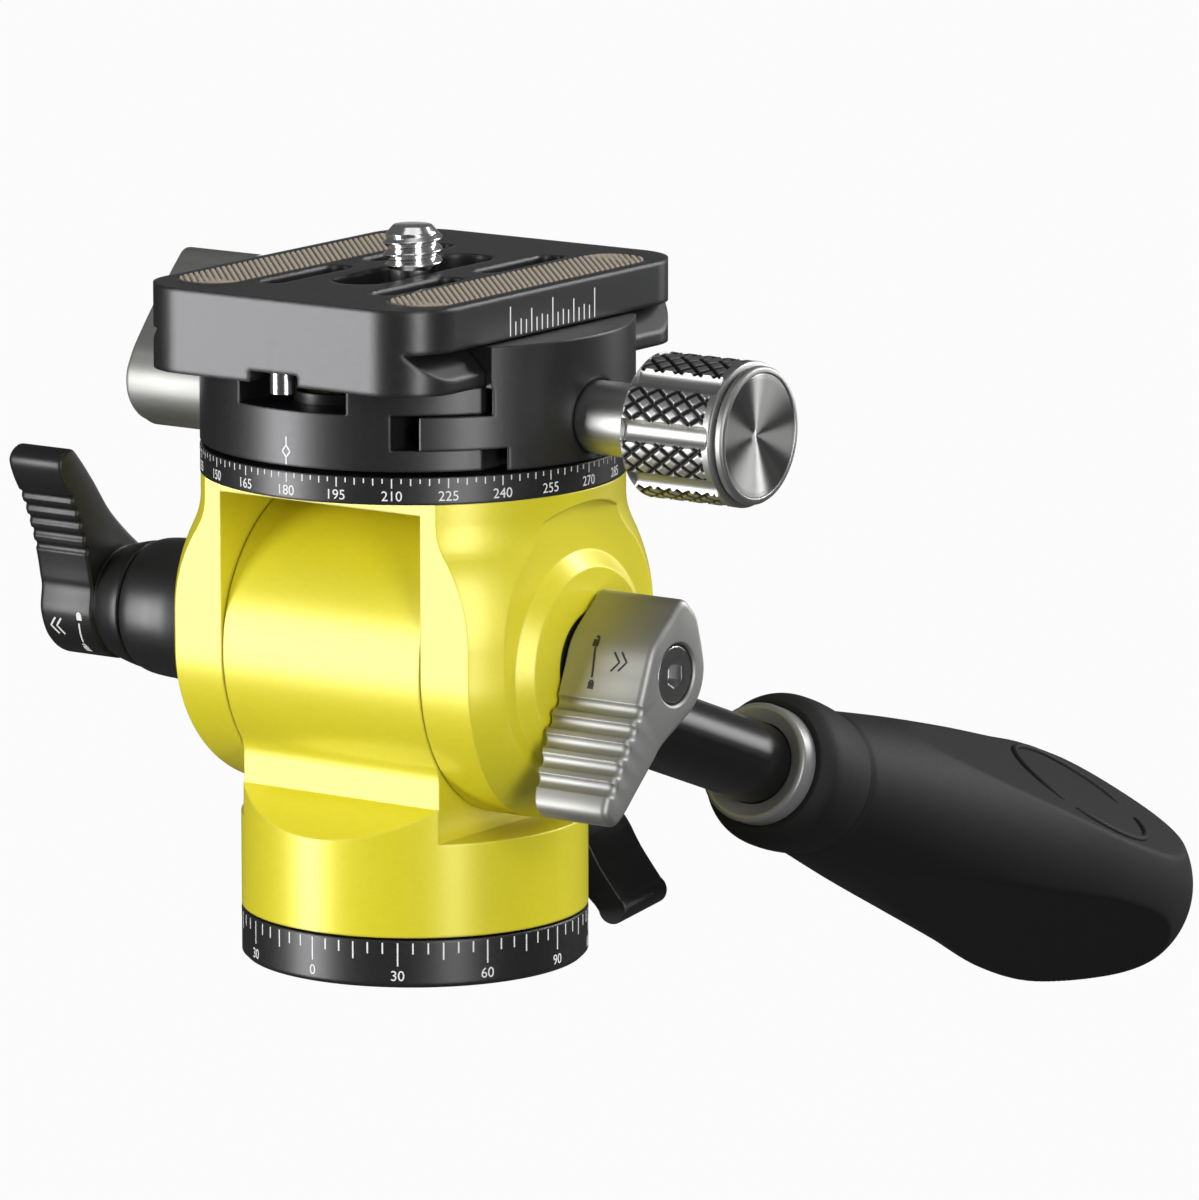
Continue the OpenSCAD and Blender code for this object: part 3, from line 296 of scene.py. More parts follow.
def loop_normals(loop):
    """Unit normals that point out of a loop drawn anticlockwise."""
    tangent = np.roll(loop, -1, 0) - np.roll(loop, 1, 0)
    normal = np.stack([tangent[:, 1], -tangent[:, 0]], 1)
    return normal / np.linalg.norm(normal, axis=1, keepdims=True)


def ease(x):
    """Smooth step from 0 at x = 0 to 1 at x = 1."""
    x = np.clip(x, 0, 1)
    return x * x * (3 - 2 * x)


# Finishes

def wire(tree, node, values, links):
    """Sets socket values of a shader node, and links other nodes' outputs into its sockets."""
    for socket, value in values.items():
        node.inputs[socket].default_value = value
    for socket, source in links.items():
        tree.links.new(source, node.inputs[socket])


def add_node(tree, kind, values=None, links=None, **options):
    """A new shader node with these options, socket values and links."""
    node = tree.nodes.new("ShaderNode" + kind)
    for option, value in options.items():
        setattr(node, option, value)
    wire(tree, node, values or {}, links or {})
    return node


def finish(name, colour, metallic, roughness, grain, streak, bump, edge, edge_wear_and_highlight_gain, coat=0.0):
    """A procedural finish. Noise stretched by the grain (millimetres a feature in X, Y and Z) varies
    colour and roughness and roughens the surface, and edges get a small rounding and a lighter tone,
    partly worn bare metal and partly a painted highlight along the edges."""
    material = bpy.data.materials.new(name + "_finish")
    material.use_nodes = True
    tree = material.node_tree
    place = add_node(tree, "TexCoord")
    stretch = add_node(tree, "Mapping", {"Scale": [1 / (g * MM) for g in grain]},
                       {"Vector": place.outputs["Object"]})
    noise = add_node(tree, "TexNoise", {"Scale": 1.0, "Detail": 3.0},
                     {"Vector": stretch.outputs["Vector"]})
    speckle = noise.outputs["Fac"]
    dull, glossy = roughness * (1 + 2 * streak), roughness * (1 - 2 * streak)
    rough = add_node(tree, "MapRange", {"To Min": glossy, "To Max": dull}, {"Value": speckle})
    dark = [c * (1 - streak) for c in colour] + [1]
    light = [min(1, c * (1 + streak)) for c in colour] + [1]
    tone = add_node(tree, "Mix", {"A": dark, "B": light}, {"Factor": speckle}, data_type="RGBA")
    bevel = add_node(tree, "Bevel", {"Radius": edge * MM}, samples=6)
    rounded = bevel.outputs["Normal"]
    relief = add_node(tree, "Bump", {"Strength": bump, "Distance": 0.04 * MM},
                      {"Height": speckle, "Normal": rounded})
    surface = add_node(tree, "NewGeometry")
    bent = add_node(tree, "VectorMath", None, {0: rounded, 1: surface.outputs["Normal"]},
                    operation="DOT_PRODUCT")
    # Painted highlight, partly worn bare metal: where the rounded normal bends away from the true one, along
    # edges, the colour is lifted towards a pale tone
    wear_and_edge_highlight = add_node(tree, "MapRange", {"From Min": 0.995, "From Max": 0.75, "To Min": 0.0,
                                       "To Max": edge_wear_and_highlight_gain}, {"Value": bent.outputs["Value"]})
    bare_and_highlight_tone = [min(1, 0.25 + 0.75 * c) for c in colour] + [1]
    rim = add_node(tree, "Mix", {"B": bare_and_highlight_tone}, {"Factor": wear_and_edge_highlight.outputs["Result"],
                                              "A": tone.outputs["Result"]}, data_type="RGBA")
    wire(tree, tree.nodes["Principled BSDF"],
         {"Metallic": metallic, "Coat Weight": coat, "Coat Roughness": 0.25},
         {"Roughness": rough.outputs["Result"], "Normal": relief.outputs["Normal"],
          "Base Color": rim.outputs["Result"]})
    return material


def darken_grooves(material, shade):
    """Painted shade: darkens a finish to this share of its colour in the grooves of the mesh."""
    tree = material.node_tree
    shader = tree.nodes["Principled BSDF"]
    tone = shader.inputs["Base Color"].links[0].from_socket
    depth = add_node(tree, "Attribute", attribute_name="groove")
    shadow = add_node(tree, "MapRange", {"To Min": 1.0, "To Max": shade},
                      {"Value": depth.outputs["Fac"]})
    dark = add_node(tree, "VectorMath", None, {0: tone}, operation="SCALE")
    wire(tree, dark, {}, {"Scale": shadow.outputs["Result"]})
    wire(tree, shader, {}, {"Base Color": dark.outputs["Vector"]})


def spin(material):
    """Makes a steel look spun on a lathe: its glint is stretched across fine rings about the knob's
    axis."""
    tree = material.node_tree
    around = add_node(tree, "Tangent", direction_type="RADIAL", axis="X")
    wire(tree, tree.nodes["Principled BSDF"], {"Anisotropic": 1.0, "Anisotropic Rotation": 0.25},
         {"Tangent": around.outputs["Tangent"]})


def make_finishes(colours):
    """All finishes by name: one for each of the record's material slots, one for each node with a
    finish of its own, and one for each colour of mark. Rubber gets a weak sheen, and the level's fluid
    is cloudy and clear."""
    made = {}
    for name, (colour, *values) in FINISHES.items():
        tone = getattr(colours, colour) if isinstance(colour, str) else colour
        made[name] = finish(name, tone, *values)
    # Painted shade in the grooves of the knob's knurl and between the ribs of the grip strips
    darken_grooves(made["knob_steel"], shade=0.08)
    darken_grooves(made["strip_rubber"], shade=0.35)
    spin(made["knob_face_steel"])
    rubber = made["grip_rubber"].node_tree.nodes["Principled BSDF"]
    rubber.inputs["Specular IOR Level"].default_value = 0.36
    fluid = made["level_fluid"].node_tree.nodes["Principled BSDF"]
    fluid.inputs["Transmission Weight"].default_value = 0.35
    fluid.inputs["IOR"].default_value = 1.36
    return made


def finish_named(name):
    """A finish that the first operator has made."""
    if name + "_finish" not in bpy.data.materials:
        raise RuntimeError("make the finishes first: " + name)
    return bpy.data.materials[name + "_finish"]


# Shapes

def box_mm(node):
    """Lowest and highest corner of a CAD node, in millimetres."""
    low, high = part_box(node)
    return np.array(low) / MM, np.array(high) / MM


def knob_rings(knurl_depth, knurl_length):
    """The clamp knob as radius against angle and X. A turned profile gives the stem, the barrel and the
    grooved end rim. Two crossing families of slanting V grooves leave flat-topped diamonds on the
    barrel: the height is the lower of two triangle waves, of (angle + X) and of (angle - X). Eight
    round flutes then cut it again. Returns the rings, both end points and the eased depth of the
    grooves, which sets the painted shade in them."""
    low, high = box_mm("clamp_knob")
    stem, back, face = low[0], low[0] + 8.07, high[0]
    middle = (low[2] + high[2]) / 2
    radius, bore = 7.7, 2.6
    flutes, flute_radius, flute_depth = 8, 1.5, 0.75
    first_flute = np.radians(85.8)
    diamonds_around = 27
    first = [(stem, bore), (stem, 3.75), (stem + 0.15, 3.9), (back - 0.02, 3.9), (back, 3.95),
             (back, 6.9), (back + 0.15, 7.25), (back + 0.4, 7.6)]
    barrel = np.linspace(back + 0.5, face - 1.5, 128)
    last = [(face - 1.35, 7.62), (face - 1.2, 7.25), (face - 1.18, 6.85), (face - 0.92, 6.85),
            (face - 0.9, 7.2), (face - 0.75, 7.28), (face - 0.3, 7.25), (face - 0.08, 7.1), (face, 6.9),
            (face, 6.62), (face - 0.08, 6.54), (face - 1.2, 6.52)]
    profile = np.concatenate([first, np.stack([barrel, np.full(len(barrel), radius)], 1), last])
    x, r = profile[:, :1], profile[:, 1:]
    angle = (np.arange(flutes * 80) * TURN / (flutes * 80))[None, :]
    step = TURN / flutes
    off = (angle - first_flute + step / 2) % step - step / 2
    centre = radius + flute_radius - flute_depth
    half = np.clip(flute_radius ** 2 - (centre * np.sin(off)) ** 2, 0, None)
    flute = np.where(half > 0, centre * np.cos(off) - np.sqrt(half), 99)
    flute = flute + 1.2 * ease((x - face + 2.2) / 1.2)
    around = angle * diamonds_around / TURN
    length = (x - barrel[0]) / knurl_length
    waves = [2 * np.abs((w + 0.5) % 1 - 0.5) for w in (around + length, around - length)]
    diamonds = np.clip(np.minimum(waves[0], waves[1]) * 2.3, 0, 1)
    knurled = ease((x - barrel[0]) / 0.2) * ease((barrel[-1] - 0.75 - x) / 0.2)
    groove = (1 - diamonds) * knurled
    r = r - knurl_depth * groove
    cut = (flute < r) & (x > back + 0.45) & (x < face - 1.25)
    r = np.where(cut, flute, r)
    groove = np.where(cut, 0, groove)
    rings = np.stack([np.broadcast_to(x, r.shape), r * np.cos(angle), middle + r * np.sin(angle)], -1)
    # The groove depth, eased, goes back as the strength of the painted shade in the grooves
    return rings, (stem, 0, middle), (face - 1.2, 0, middle), ease(1.7 * groove)


def camera_screw_rings(pitch):
    """The camera screw as radius against angle and height: a flat head with a slot across its
    underside, a plain neck, and a thread whose radius is a triangle wave of (height / pitch - angle /
    turn), held under a chamfer at the tip. Returns the rings and both end points."""
    low, high = box_mm("camera_screw")
    bottom, top = low[2], high[2]
    neck_top = top - 4.6
    radius, neck, head = 3.175, 2.6, 5.2
    thread_depth, slot_depth = 0.56, 1.4
    angle = np.arange(120) * TURN / 120
    plain = [(1.2, bottom), (2.4, bottom), (3.6, bottom), (5.0, bottom), (head, bottom + 0.2),
             (head, bottom + 3), (neck, bottom + 3), (neck, neck_top)]
    heights = np.linspace(neck_top + 0.02, top - 0.02, 74)
    threaded = np.stack([np.full(len(heights), radius), heights], 1)
    profile = np.concatenate([plain, threaded, [(1.95, top)]])
    r, z = profile[:, :1], profile[:, 1:]
    wave = 2 * np.abs(((z - neck_top) / pitch - angle / TURN) % 1 - 0.5)
    cut = np.clip((wave - 0.1) / 0.8, 0, 1) * thread_depth
    tip = 2.05 + (top - z) * 0.9
    start = neck + (z - neck_top) * 1.2
    thread = (z > neck_top + 0.01) & (z < top - 0.01)
    r = np.where(thread, np.minimum(np.minimum(r - cut, tip), start), r + 0 * angle)
    y = r * np.sin(angle)
    slot = np.clip((0.75 - np.abs(y)) / 0.1, 0, 1) * slot_depth
    z = z + np.where(z < bottom + 0.1, slot, 0)
    rings = np.stack([r * np.cos(angle), y, np.broadcast_to(z, r.shape)], -1)
    return rings, (0, 0, bottom + slot_depth), (0, 0, top)


def strip_rings(side, pitch, depth):
    """One grip strip: its outline is a long rounded rectangle, given as half width against Y, and its
    top is lowered by narrow grooves that slant across it, a function of (0.74 X + 0.67 Y) alone.
    Returns the rings, both end points and the depth of the grooves, which also sets the painted
    shade in them and along the strip's sides."""
    low, high = box_mm("plate_grip_strips")
    middle = side * (high[0] - 3.5)
    top, bottom, end = high[2], low[2], high[1]
    corner = 3.25
    bend = corner * (1 - np.cos(np.linspace(0, np.pi / 2, 16)[:-1]))
    y = np.concatenate([-end + bend, np.linspace(-end + corner, end - corner, 420), end - bend[::-1]])
    past = np.clip(np.abs(y) - (end - corner), 0, corner)
    half = 0.25 + np.sqrt(corner ** 2 - past ** 2)
    across = np.concatenate([[-1.0, -1.0], np.linspace(-0.985, 0.985, 81), [1.0, 1.0]])
    x = middle + half[:, None] * across[None, :]
    q = (0.74 * x + 0.67 * y[:, None]) / pitch
    groove = np.clip(1.25 - np.abs((q % 1) - 0.5) * 5.0, 0, 1)
    z = top - depth * groove
    z[:, [1, -2]] -= 0.1
    z[:, [0, -1]] = bottom
    rings = np.stack([x, np.broadcast_to(y[:, None], x.shape), z], -1)
    # Painted shade along both sides of the strip, where it meets the plate
    groove[:, [0, 1, -2, -1]] = 0.6
    return rings, rings[0].mean(0), rings[-1].mean(0), groove


def handle_axes():
    """Foot of the handle's axis, its direction, and the sideways and upward directions across it."""
    joint = [j for j in frame["joints"] if j["name"] == "handle_turn"][0]
    foot = np.array(joint["pos_m"]) / MM
    along = np.array(joint["axis"], float)
    along /= np.linalg.norm(along)
    sideways = np.array([1.0, 0, 0])
    return foot, along, sideways, np.cross(sideways, along)


def about_axis(r, s, angle, axes):
    """Points at radius r and an angle about an axis, at distance s along it. The axes are given as in
    handle_axes, and the angle runs from upward to sideways."""
    foot, along, sideways, upward = [np.asarray(v, float) for v in axes]
    side, rise = r * np.sin(angle), r * np.cos(angle)
    return foot + s[..., None] * along + side[..., None] * sideways + rise[..., None] * upward


def grip_rings():
    """The rubber grip as radius against angle and distance along the handle. A smooth turned profile is
    cut by three flats at a third of a turn, the soft lowest of profile and flat; a bore inside takes
    the rod and the ferrule. Returns the rings and both end points."""
    axes = handle_axes()
    foot, along = axes[:2]
    start, shoulder, bore_end, end = 45.6, 55.6, 114.5, 132.2
    ferrule_end, ferrule_bore = 50.25, 6.73
    reach = end - shoulder
    softness = 110.0
    cuff = [(7.4, 0), (8.5, 1.8), (8.7, 4.2), (8.55, 7), (8.2, 9.6), (8.25, 10.3)]
    shares = [(9.77, 0.16), (11.14, 0.33), (12.5, 0.5), (13.79, 0.64), (13.55, 0.78), (10.5, 0.9),
              (8.19, 0.955), (5.04, 0.988)]
    profile = [(r, start + s) for r, s in cuff] + [(r, shoulder + s * reach) for r, s in shares]
    outside = smooth_open(profile + [(0.6, end)], 16)
    seam = np.exp(-((outside[:, 1] - (shoulder - 0.2)) / 0.35) ** 2) * 0.28
    outside[:, 0] -= seam
    angle = np.arange(300) * TURN / 300
    r, s = outside[:, :1], outside[:, 1:]
    facets = FIRST_FLAT + np.arange(3) * TURN / 3
    swing = (angle[None, :] - facets[:, None] + np.pi) % TURN - np.pi
    cut = FLAT_HEIGHT / np.maximum(np.cos(np.abs(swing).min(0)), 0.2)
    soft = (r ** -softness + cut[None, :] ** -softness) ** (-1 / softness)
    inside = np.array([(ROD_BORE, bore_end), (ROD_BORE, ferrule_end), (ferrule_bore, ferrule_end),
                       (ferrule_bore, start)])
    r = np.concatenate([np.repeat(inside[:, :1], len(angle), 1), soft])
    s = np.concatenate([inside[:, 1:], s])
    return about_axis(r, s, angle, axes), foot + bore_end * along, foot + end * along


def arc_rings(first, last):
    """A low round ridge on the grip's upper flat: a small ellipse carried along an oval between two
    angles in degrees, tapered at both ends. Returns the rings and both end points."""
    foot, along, sideways, upward = handle_axes()
    half_width, half_length, middle = 8.5, 10.6, 105.1
    ridge_width, ridge_height = 0.4, 0.42
    out = np.sin(FIRST_FLAT) * sideways + np.cos(FIRST_FLAT) * upward
    side = np.cos(FIRST_FLAT) * sideways - np.sin(FIRST_FLAT) * upward
    a = np.radians(np.linspace(first, last, 81))[:, None, None]
    path = (foot + FLAT_HEIGHT * out + half_width * np.cos(a) * side
            + (middle + half_length * np.sin(a)) * along)
    across = np.cos(a) / half_width * side + np.sin(a) / half_length * along
    across = across / np.linalg.norm(across, axis=-1, keepdims=True)
    taper = np.sqrt(1 - np.linspace(-0.99, 0.99, 81) ** 8)[:, None, None]
    around = (np.arange(16) * TURN / 16)[None, :, None]
    ridge = ridge_width * np.cos(around) * across + ridge_height * np.sin(around) * out
    return path + taper * ridge, path[0, 0], path[-1, 0]


def turned_rings(profile, axes):
    """A turned piece: a closed profile of radius and distance along an axis, carried round it."""
    angle = np.arange(144) * TURN / 144
    r, s = np.array(profile).T[..., None]
    return about_axis(r, s, angle, axes)


def ferrule_rings():
    """The ferrule: a turned sleeve round the rod, with a shallow dish in its front face and a rounded
    rim."""
    front, end = 43.2, 50.2
    rim, bend = 6.2, 0.5
    turn = np.linspace(-0.6, np.pi / 2, 8)
    edge = np.stack([rim + bend * np.sin(turn), front + bend - bend * np.cos(turn)], 1)
    profile = [(ROD_BORE, end), (ROD_BORE, front + 1.0), (4.6, front + 0.75), (5.2, front + 0.42)]
    profile += edge.tolist() + [(rim + bend, end - 0.02), (ROD_BORE, end)]
    return turned_rings(profile, handle_axes())


def collar_rings():
    """The fixed collar behind the tilt lock lever: a turned sleeve, nearly straight, that flares at its
    foot."""
    low, high = box_mm("lock_collar")
    bore = 2.57
    side = [(6.9, 0.05), (7.08, 0.18), (7.25, 0.5), (7.45, 1.2), (7.58, 2.2), (7.68, 3.6), (7.75, 5.2),
            (7.9, 7.0), (8.3, 9.0), (8.75, 10.8)]
    flare = smooth_open([(r, low[0] + s) for r, s in side] + [(8.95, high[0])], 8)
    profile = [(bore, high[0]), (bore, low[0]), (5.85, low[0])] + flare.tolist() + [(bore, high[0])]
    return turned_rings(profile, ((0, *TILT_AXIS), (1, 0, 0), (0, 1, 0), (0, 0, 1)))


def rounded_edge(loop, plain, face, way, radius):
    """Sections that round the edge where the side of a lever meets its face: a quarter circle in five
    steps, drawn in along the normals of the outline without its grooves."""
    turn = np.linspace(0, np.pi / 2, 5)
    normal = loop_normals(plain)
    return [(face - way * radius * (1 - np.sin(a)), loop - radius * (1 - np.cos(a)) * normal)
            for a in turn]


def round_about(loop, radius):
    """A circle of evenly spread points, as many as the outline has."""
    angle = np.arange(len(loop)) * TURN / len(loop)
    return radius * np.stack([np.cos(angle), np.sin(angle)], 1)


def face_triangles(outer, inner=None):
    """Triangles that fill an outline, or the face between an outline and a round hole at its middle,
    all drawn anticlockwise. Points count on from the outline to the hole."""
    loops = [outer] if inner is None else [outer, inner]
    count = len(outer)
    here = np.arange(count)
    loop_edges = np.stack([here, (here + 1) % count], 1)
    edges = np.concatenate([loop_edges + k * count for k in range(len(loops))])
    flat = np.concatenate(loops)
    triangles = np.array(delaunay_2d_cdt(flat.tolist(), edges.tolist(), [], 1, 1e-7)[2])
    if inner is not None:
        hole = np.linalg.norm(inner, axis=1).min()
        triangles = triangles[np.linalg.norm(flat[triangles].sum(1) / 3, axis=1) > hole]
    a, b, c = np.moveaxis(flat[triangles], 1, 0)
    area = (b - a)[:, 0] * (c - a)[:, 1] - (b - a)[:, 1] * (c - a)[:, 0]
    return np.where(area[:, None] > 0, triangles, triangles[:, ::-1])


def lever_skin(loop, sections, centre, hub=None):
    """A lever: closed outlines in Y and Z round the hub, carried along X. Each section is an X (a
    number or one for each outline point) and an outline, so an outline that shrinks gives a bevel. A
    hub, where there is one, is a row of circles before them. Triangles fill the flat faces, and circles
    make the counterbore for the screw."""
    face = np.mean(sections[-1][0])
    way = np.sign(face - np.mean(sections[0][0]))
    floor = face - way * SCREW_DEPTH
    bore = round_about(loop, SCREW_RADIUS)
    mouth = [(face, round_about(loop, SCREW_RADIUS + 0.2)), (face - way * 0.2, bore), (floor, bore)]
    hub = hub or []
    every = hub + sections + mouth
    count = len(loop)
    rings = np.stack([np.column_stack([np.broadcast_to(x, count), ring]) for x, ring in every])
    points, quads, triangles = ring_skin(rings, None, (floor, 0, 0))
    joints = [len(hub) + len(sections) - 1] + ([len(hub) - 1] if hub else [])
    quads = np.delete(quads.reshape(-1, count, 4), joints, 0).reshape(-1, 4)
    fills = [triangles, face_triangles(every[0][1])[:, ::-1],
             face_triangles(sections[-1][1], mouth[0][1]) + joints[0] * count]
    if hub:
        back = face_triangles(sections[0][1], hub[-1][1])[:, ::-1]
        fills.append(np.where(back < count, back + len(hub) * count, back + (len(hub) - 2) * count))
    return points + np.array([0, *centre]), quads, np.concatenate(fills)


def scallops(loop, places, radius, lift):
    """Presses round-bottomed grooves into an outline, at these distances along its first coordinate on
    the side where the second is positive: the depth is what a circle of that radius reaches below the
    surface. Returns the grooved outline and the plain one."""
    off = loop[:, 0][:, None] - np.asarray(places)[None, :]
    depth = np.clip(np.sqrt(np.clip(radius ** 2 - off ** 2, 0, None)) - lift, 0, None).max(1)
    depth = np.where(loop[:, 1] > 0.6, depth, 0)
    return loop - depth[:, None] * loop_normals(loop), loop


def paddle_loop(hub, length, tip, nose, back):
    """Outline of a satin lever, the tail along the first coordinate: hub, nose, and a tapering serrated
    tail."""
    def slope(u):
        return 0.64 * hub + (u - hub) / (length - hub) * (tip - 0.64 * hub)

    def under(u):
        return -back * hub + (u - 0.8 * hub) / (length - 0.8 * hub) * (back * hub - tip)

    upper = [(u, slope(u)) for u in np.linspace(0.97 * length, 1.1 * hub, 5)]
    lower = [(u, under(u)) for u in np.linspace(1.25 * hub, 0.97 * length, 5)]
    crown = [(0.62, 0.79), (0.15, 0.95), (-0.2, 0.965)]
    belly = [(-0.87, -0.49), (-0.64, -0.77), (-0.3, -0.954), (0.1, -0.985),
             (0.47, -0.87 if back < 0.9 else -0.95)]
    head = [(k * hub, v * hub) for k, v in crown + nose + belly]
    points = [(length + tip, 0), (length + 0.74 * tip, 0.7 * tip)] + upper + head + lower
    loop = smooth_loop(points + [(length + 0.74 * tip, -0.7 * tip)], LOOP_POINTS)
    places = hub + (np.arange(5) + 0.6) / 5 * (length - hub)
    return scallops(loop, places, radius=0.8, lift=0.24)


def hook_loop(hub, length, tip):
    """Outline of the black tilt lever: round hub, a hollow serrated front and a nearly straight
    back."""
    hollow = 1.7 * length
    rise = hollow + 0.5 * tip
    u = np.array([0.97, 0.85, 0.72, 0.6, 0.5, 0.4, 0.32]) * length
    front = np.stack([u, rise - np.sqrt(hollow ** 2 - (u - length) ** 2)], 1).tolist()
    turn = np.radians(np.array([40, 65, 95, 125, 155, 185, 215, 245, 275, 300]))
    hub_arc = np.stack([hub * np.cos(turn), hub * np.sin(turn)], 1).tolist()
    back = [(0.34 * length, -0.7 * hub), (0.55 * length, -0.55 * hub), (0.78 * length, -0.5 * hub),
            (0.97 * length, -1.46 * tip)]
    points = [(length + tip, -0.5 * tip), (length + 0.72 * tip, 0.22 * tip)] + front + hub_arc + back
    loop = smooth_loop(points + [(length + 0.7 * tip, -1.2 * tip)], LOOP_POINTS)
    places = (0.5 + 0.085 * np.arange(5)) * length
    return scallops(loop, places, radius=0.5, lift=0.2)


def turned(loops, degrees, mirrored):
    """Outlines turned to their place in Y and Z, and mirrored first where the lever is, anticlockwise
    again."""
    u, v = np.stack(loops)[..., 0], np.stack(loops)[..., 1] * (-1 if mirrored else 1)
    a = np.radians(degrees)
    placed = np.stack([u * np.cos(a) - v * np.sin(a), u * np.sin(a) + v * np.cos(a)], -1)
    return placed[:, ::-1] if mirrored else placed


def drag_outline():
    """Side outline of the drag lever round the tilt axis, grooved and plain."""
    nose = [(-0.72, 0.87), (-1.1, 0.8), (-1.25, 0.66), (-1.27, 0.4), (-1.24, 0.14), (-1.08, -0.16)]
    length, degrees = DRAG_TAIL
    loops = paddle_loop(hub=5.6, length=length, tip=2.05, nose=nose, back=0.62)
    return turned(loops, degrees, mirrored=True)


def pano_outline():
    """Side outline of the panorama lever round its stud, grooved and plain."""
    nose = [(-0.55, 0.9), (-0.84, 0.78), (-0.98, 0.5), (-1.0, 0.2), (-0.99, -0.15)]
    length, degrees = PANO_TAIL
    loops = paddle_loop(hub=4.9, length=length, tip=2.05, nose=nose, back=0.92)
    return turned(loops, degrees, mirrored=True)


def lock_outline():
    """Side outline of the tilt lock lever round the tilt axis, grooved and plain."""
    return turned(hook_loop(hub=6.4, length=18.9, tip=1.9), degrees=123.6, mirrored=False)


def thinned(loop, tail, inner, way):
    """X of a satin lever's inner side for each outline point: flat at the hub, then a slope that thins
    the tail."""
    length, degrees = tail
    a = np.radians(degrees)
    out = loop[:, 0] * np.cos(a) + loop[:, 1] * np.sin(a)
    return inner + way * np.clip(3.6 * (out - 0.3 * length) / (1.1 * length) - 1, 0, None)


def satin_lever(name, node, body, outline, tail, centre, way, bevel):
    """A satin lever between its CAD node's two sides in X; way is 1 where its face looks to the right,
    else -1."""
    low, high = box_mm(node)
    inner, outer = (low[0], high[0]) if way > 0 else (high[0], low[0])
    loop, plain = outline
    sections = rounded_edge(loop, plain, thinned(loop, tail, inner, way), -way, INNER_EDGE)[::-1]
    sections += rounded_edge(loop, plain, outer, way, bevel)
    closed_piece(name, lever_skin(loop, sections, centre), body, node, "satin_lever", LEVER_SHARP)


def hub_lever(name, node, body, outline, centre, bevel):
    """The black tilt lever: a blade, and behind it a round hub that widens to meet the collar."""
    low, high = box_mm(node)
    loop, plain = outline
    blade = low[0] + 7.4
    cone = [(6.75, 0), (6.95, 0.15), (6.98, 0.5), (6.8, 1.4), (6.55, 2.4), (6.25, 3.3),
            (5.95, high[0] - blade)]
    hub = [(high[0] - back, round_about(loop, radius)) for radius, back in cone]
    sections = rounded_edge(loop, plain, blade, 1, INNER_EDGE)[::-1]
    sections += rounded_edge(loop, plain, low[0], -1, bevel)
    closed_piece(name, lever_skin(loop, sections, centre, hub), body, node, "black_lever", LEVER_SHARP)


# Marks

def strokes(lines, width):
    """Bands of this width along polylines drawn in a plane; returns points and quads."""
    points, quads, count = [], [], 0
    for line in lines:
        line = np.asarray(line, float)
        tangent = np.gradient(line, axis=0)
        tangent /= np.linalg.norm(tangent, axis=1, keepdims=True)
        side = np.stack([-tangent[:, 1], tangent[:, 0]], 1) * width / 2
        points.append(np.concatenate([line - side, line + side]))
        here = np.arange(len(line) - 1)
        quads.append(count + np.stack([here, here + 1, here + 1 + len(line), here + len(line)], 1))
        count += 2 * len(line)
    return np.concatenate(points), np.concatenate(quads)


def numerals(words, size):
    """Flat outlines of numbers, each (text, across, up), filled; returns points and lists of faces."""
    points, faces, count = [], [], 0
    for text, across, up in words:
        curve = bpy.data.curves.new("numeral", "FONT")
        curve.body = text
        curve.size = size
        holder = bpy.data.objects.new("numeral", curve)
        mesh = bpy.data.meshes.new_from_object(holder)
        flat = np.zeros(len(mesh.vertices) * 3)
        mesh.vertices.foreach_get("co", flat)
        flat = flat.reshape(-1, 3)[:, :2]
        points.append(flat - (flat.min(0) + flat.max(0)) / 2 + np.array([across, up]))
        faces += [[count + v for v in p.vertices] for p in mesh.polygons]
        count += len(flat)
        bpy.data.objects.remove(holder)
        bpy.data.curves.remove(curve)
        bpy.data.meshes.remove(mesh)
    return np.concatenate(points), faces


def on_cylinder(points, radius):
    """Lays a plane drawing (distance round the front of a cylinder, height) on an upright cylinder."""
    angle = points[:, 0] / radius - np.pi / 2
    return np.stack([radius * np.cos(angle), radius * np.sin(angle), points[:, 1]], 1)


def on_lever(points, outline):
    """Lays a plane drawing (X, height) on the front of a lever on the tilt axis, found from its side
    outline."""
    front = outline[outline[:, 0] < 0]
    front = front[np.argsort(front[:, 1])]
    back = np.interp(points[:, 1] - TILT_AXIS[1], front[:, 1], front[:, 0])
    return np.stack([points[:, 0], back + TILT_AXIS[0] - SIGN_GAP, points[:, 1]], 1)


def mark_piece(name, points, faces, outward, mark, body, height):
    """A thin printed mark. Its faces are turned to point the way the outward function says."""
    corner = np.array([f[:3] for f in faces])
    a, b, c = np.moveaxis(points[corner], 1, 0)
    wrong = (np.cross(b - a, c - a) * outward(a)).sum(1) < 0
    faces = [f[::-1] if w else f for f, w in zip(faces, wrong)]
    piece = new_piece(name, points, faces, finish_named(mark))
    layer = piece.modifiers.new("paint", "SOLIDIFY")
    layer.thickness = height
    layer.offset = 1
    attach(piece, body)


def from_axis(points):
    """Outward on an upright cylinder about the middle."""
    return points * np.array([1, 1, 0])


def forward(points):
    """Outward on faces that look to the front."""
    return np.broadcast_to(np.array([0.0, -1.0, 0.0]), points.shape)


def scale_lines(radius, top, steps):
    """Upright ticks round a cylinder: each step is degrees between ticks, their length, and degrees to
    leave out."""
    lines = []
    for every, length, skip in steps:
        degrees = np.arange(-180, 180, every)
        if skip:
            degrees = degrees[np.abs(degrees / skip - np.round(degrees / skip)) > 1e-6]
        lines += [[(x, top), (x, top - length)] for x in np.radians(degrees) * radius]
    return lines


def ring_scale(name, body, radius, steps, labels, top, width, level, size, height):
    """A printed scale round an upright cylinder: ticks of this width hang from the top, and labels
    (degrees and number) of this size stand at one level."""
    radius = radius + MARK_GAP
    points, quads = strokes(scale_lines(radius, top, steps), width)
    words = [(str(number), np.radians(a) * radius, level) for a, number in labels]
    more, faces = numerals(words, size)
    faces = quads.tolist() + [[v + len(points) for v in f] for f in faces]
    points = on_cylinder(np.concatenate([points, more]), radius)
    mark_piece(name, points, faces, from_axis, "white_mark", body, height)


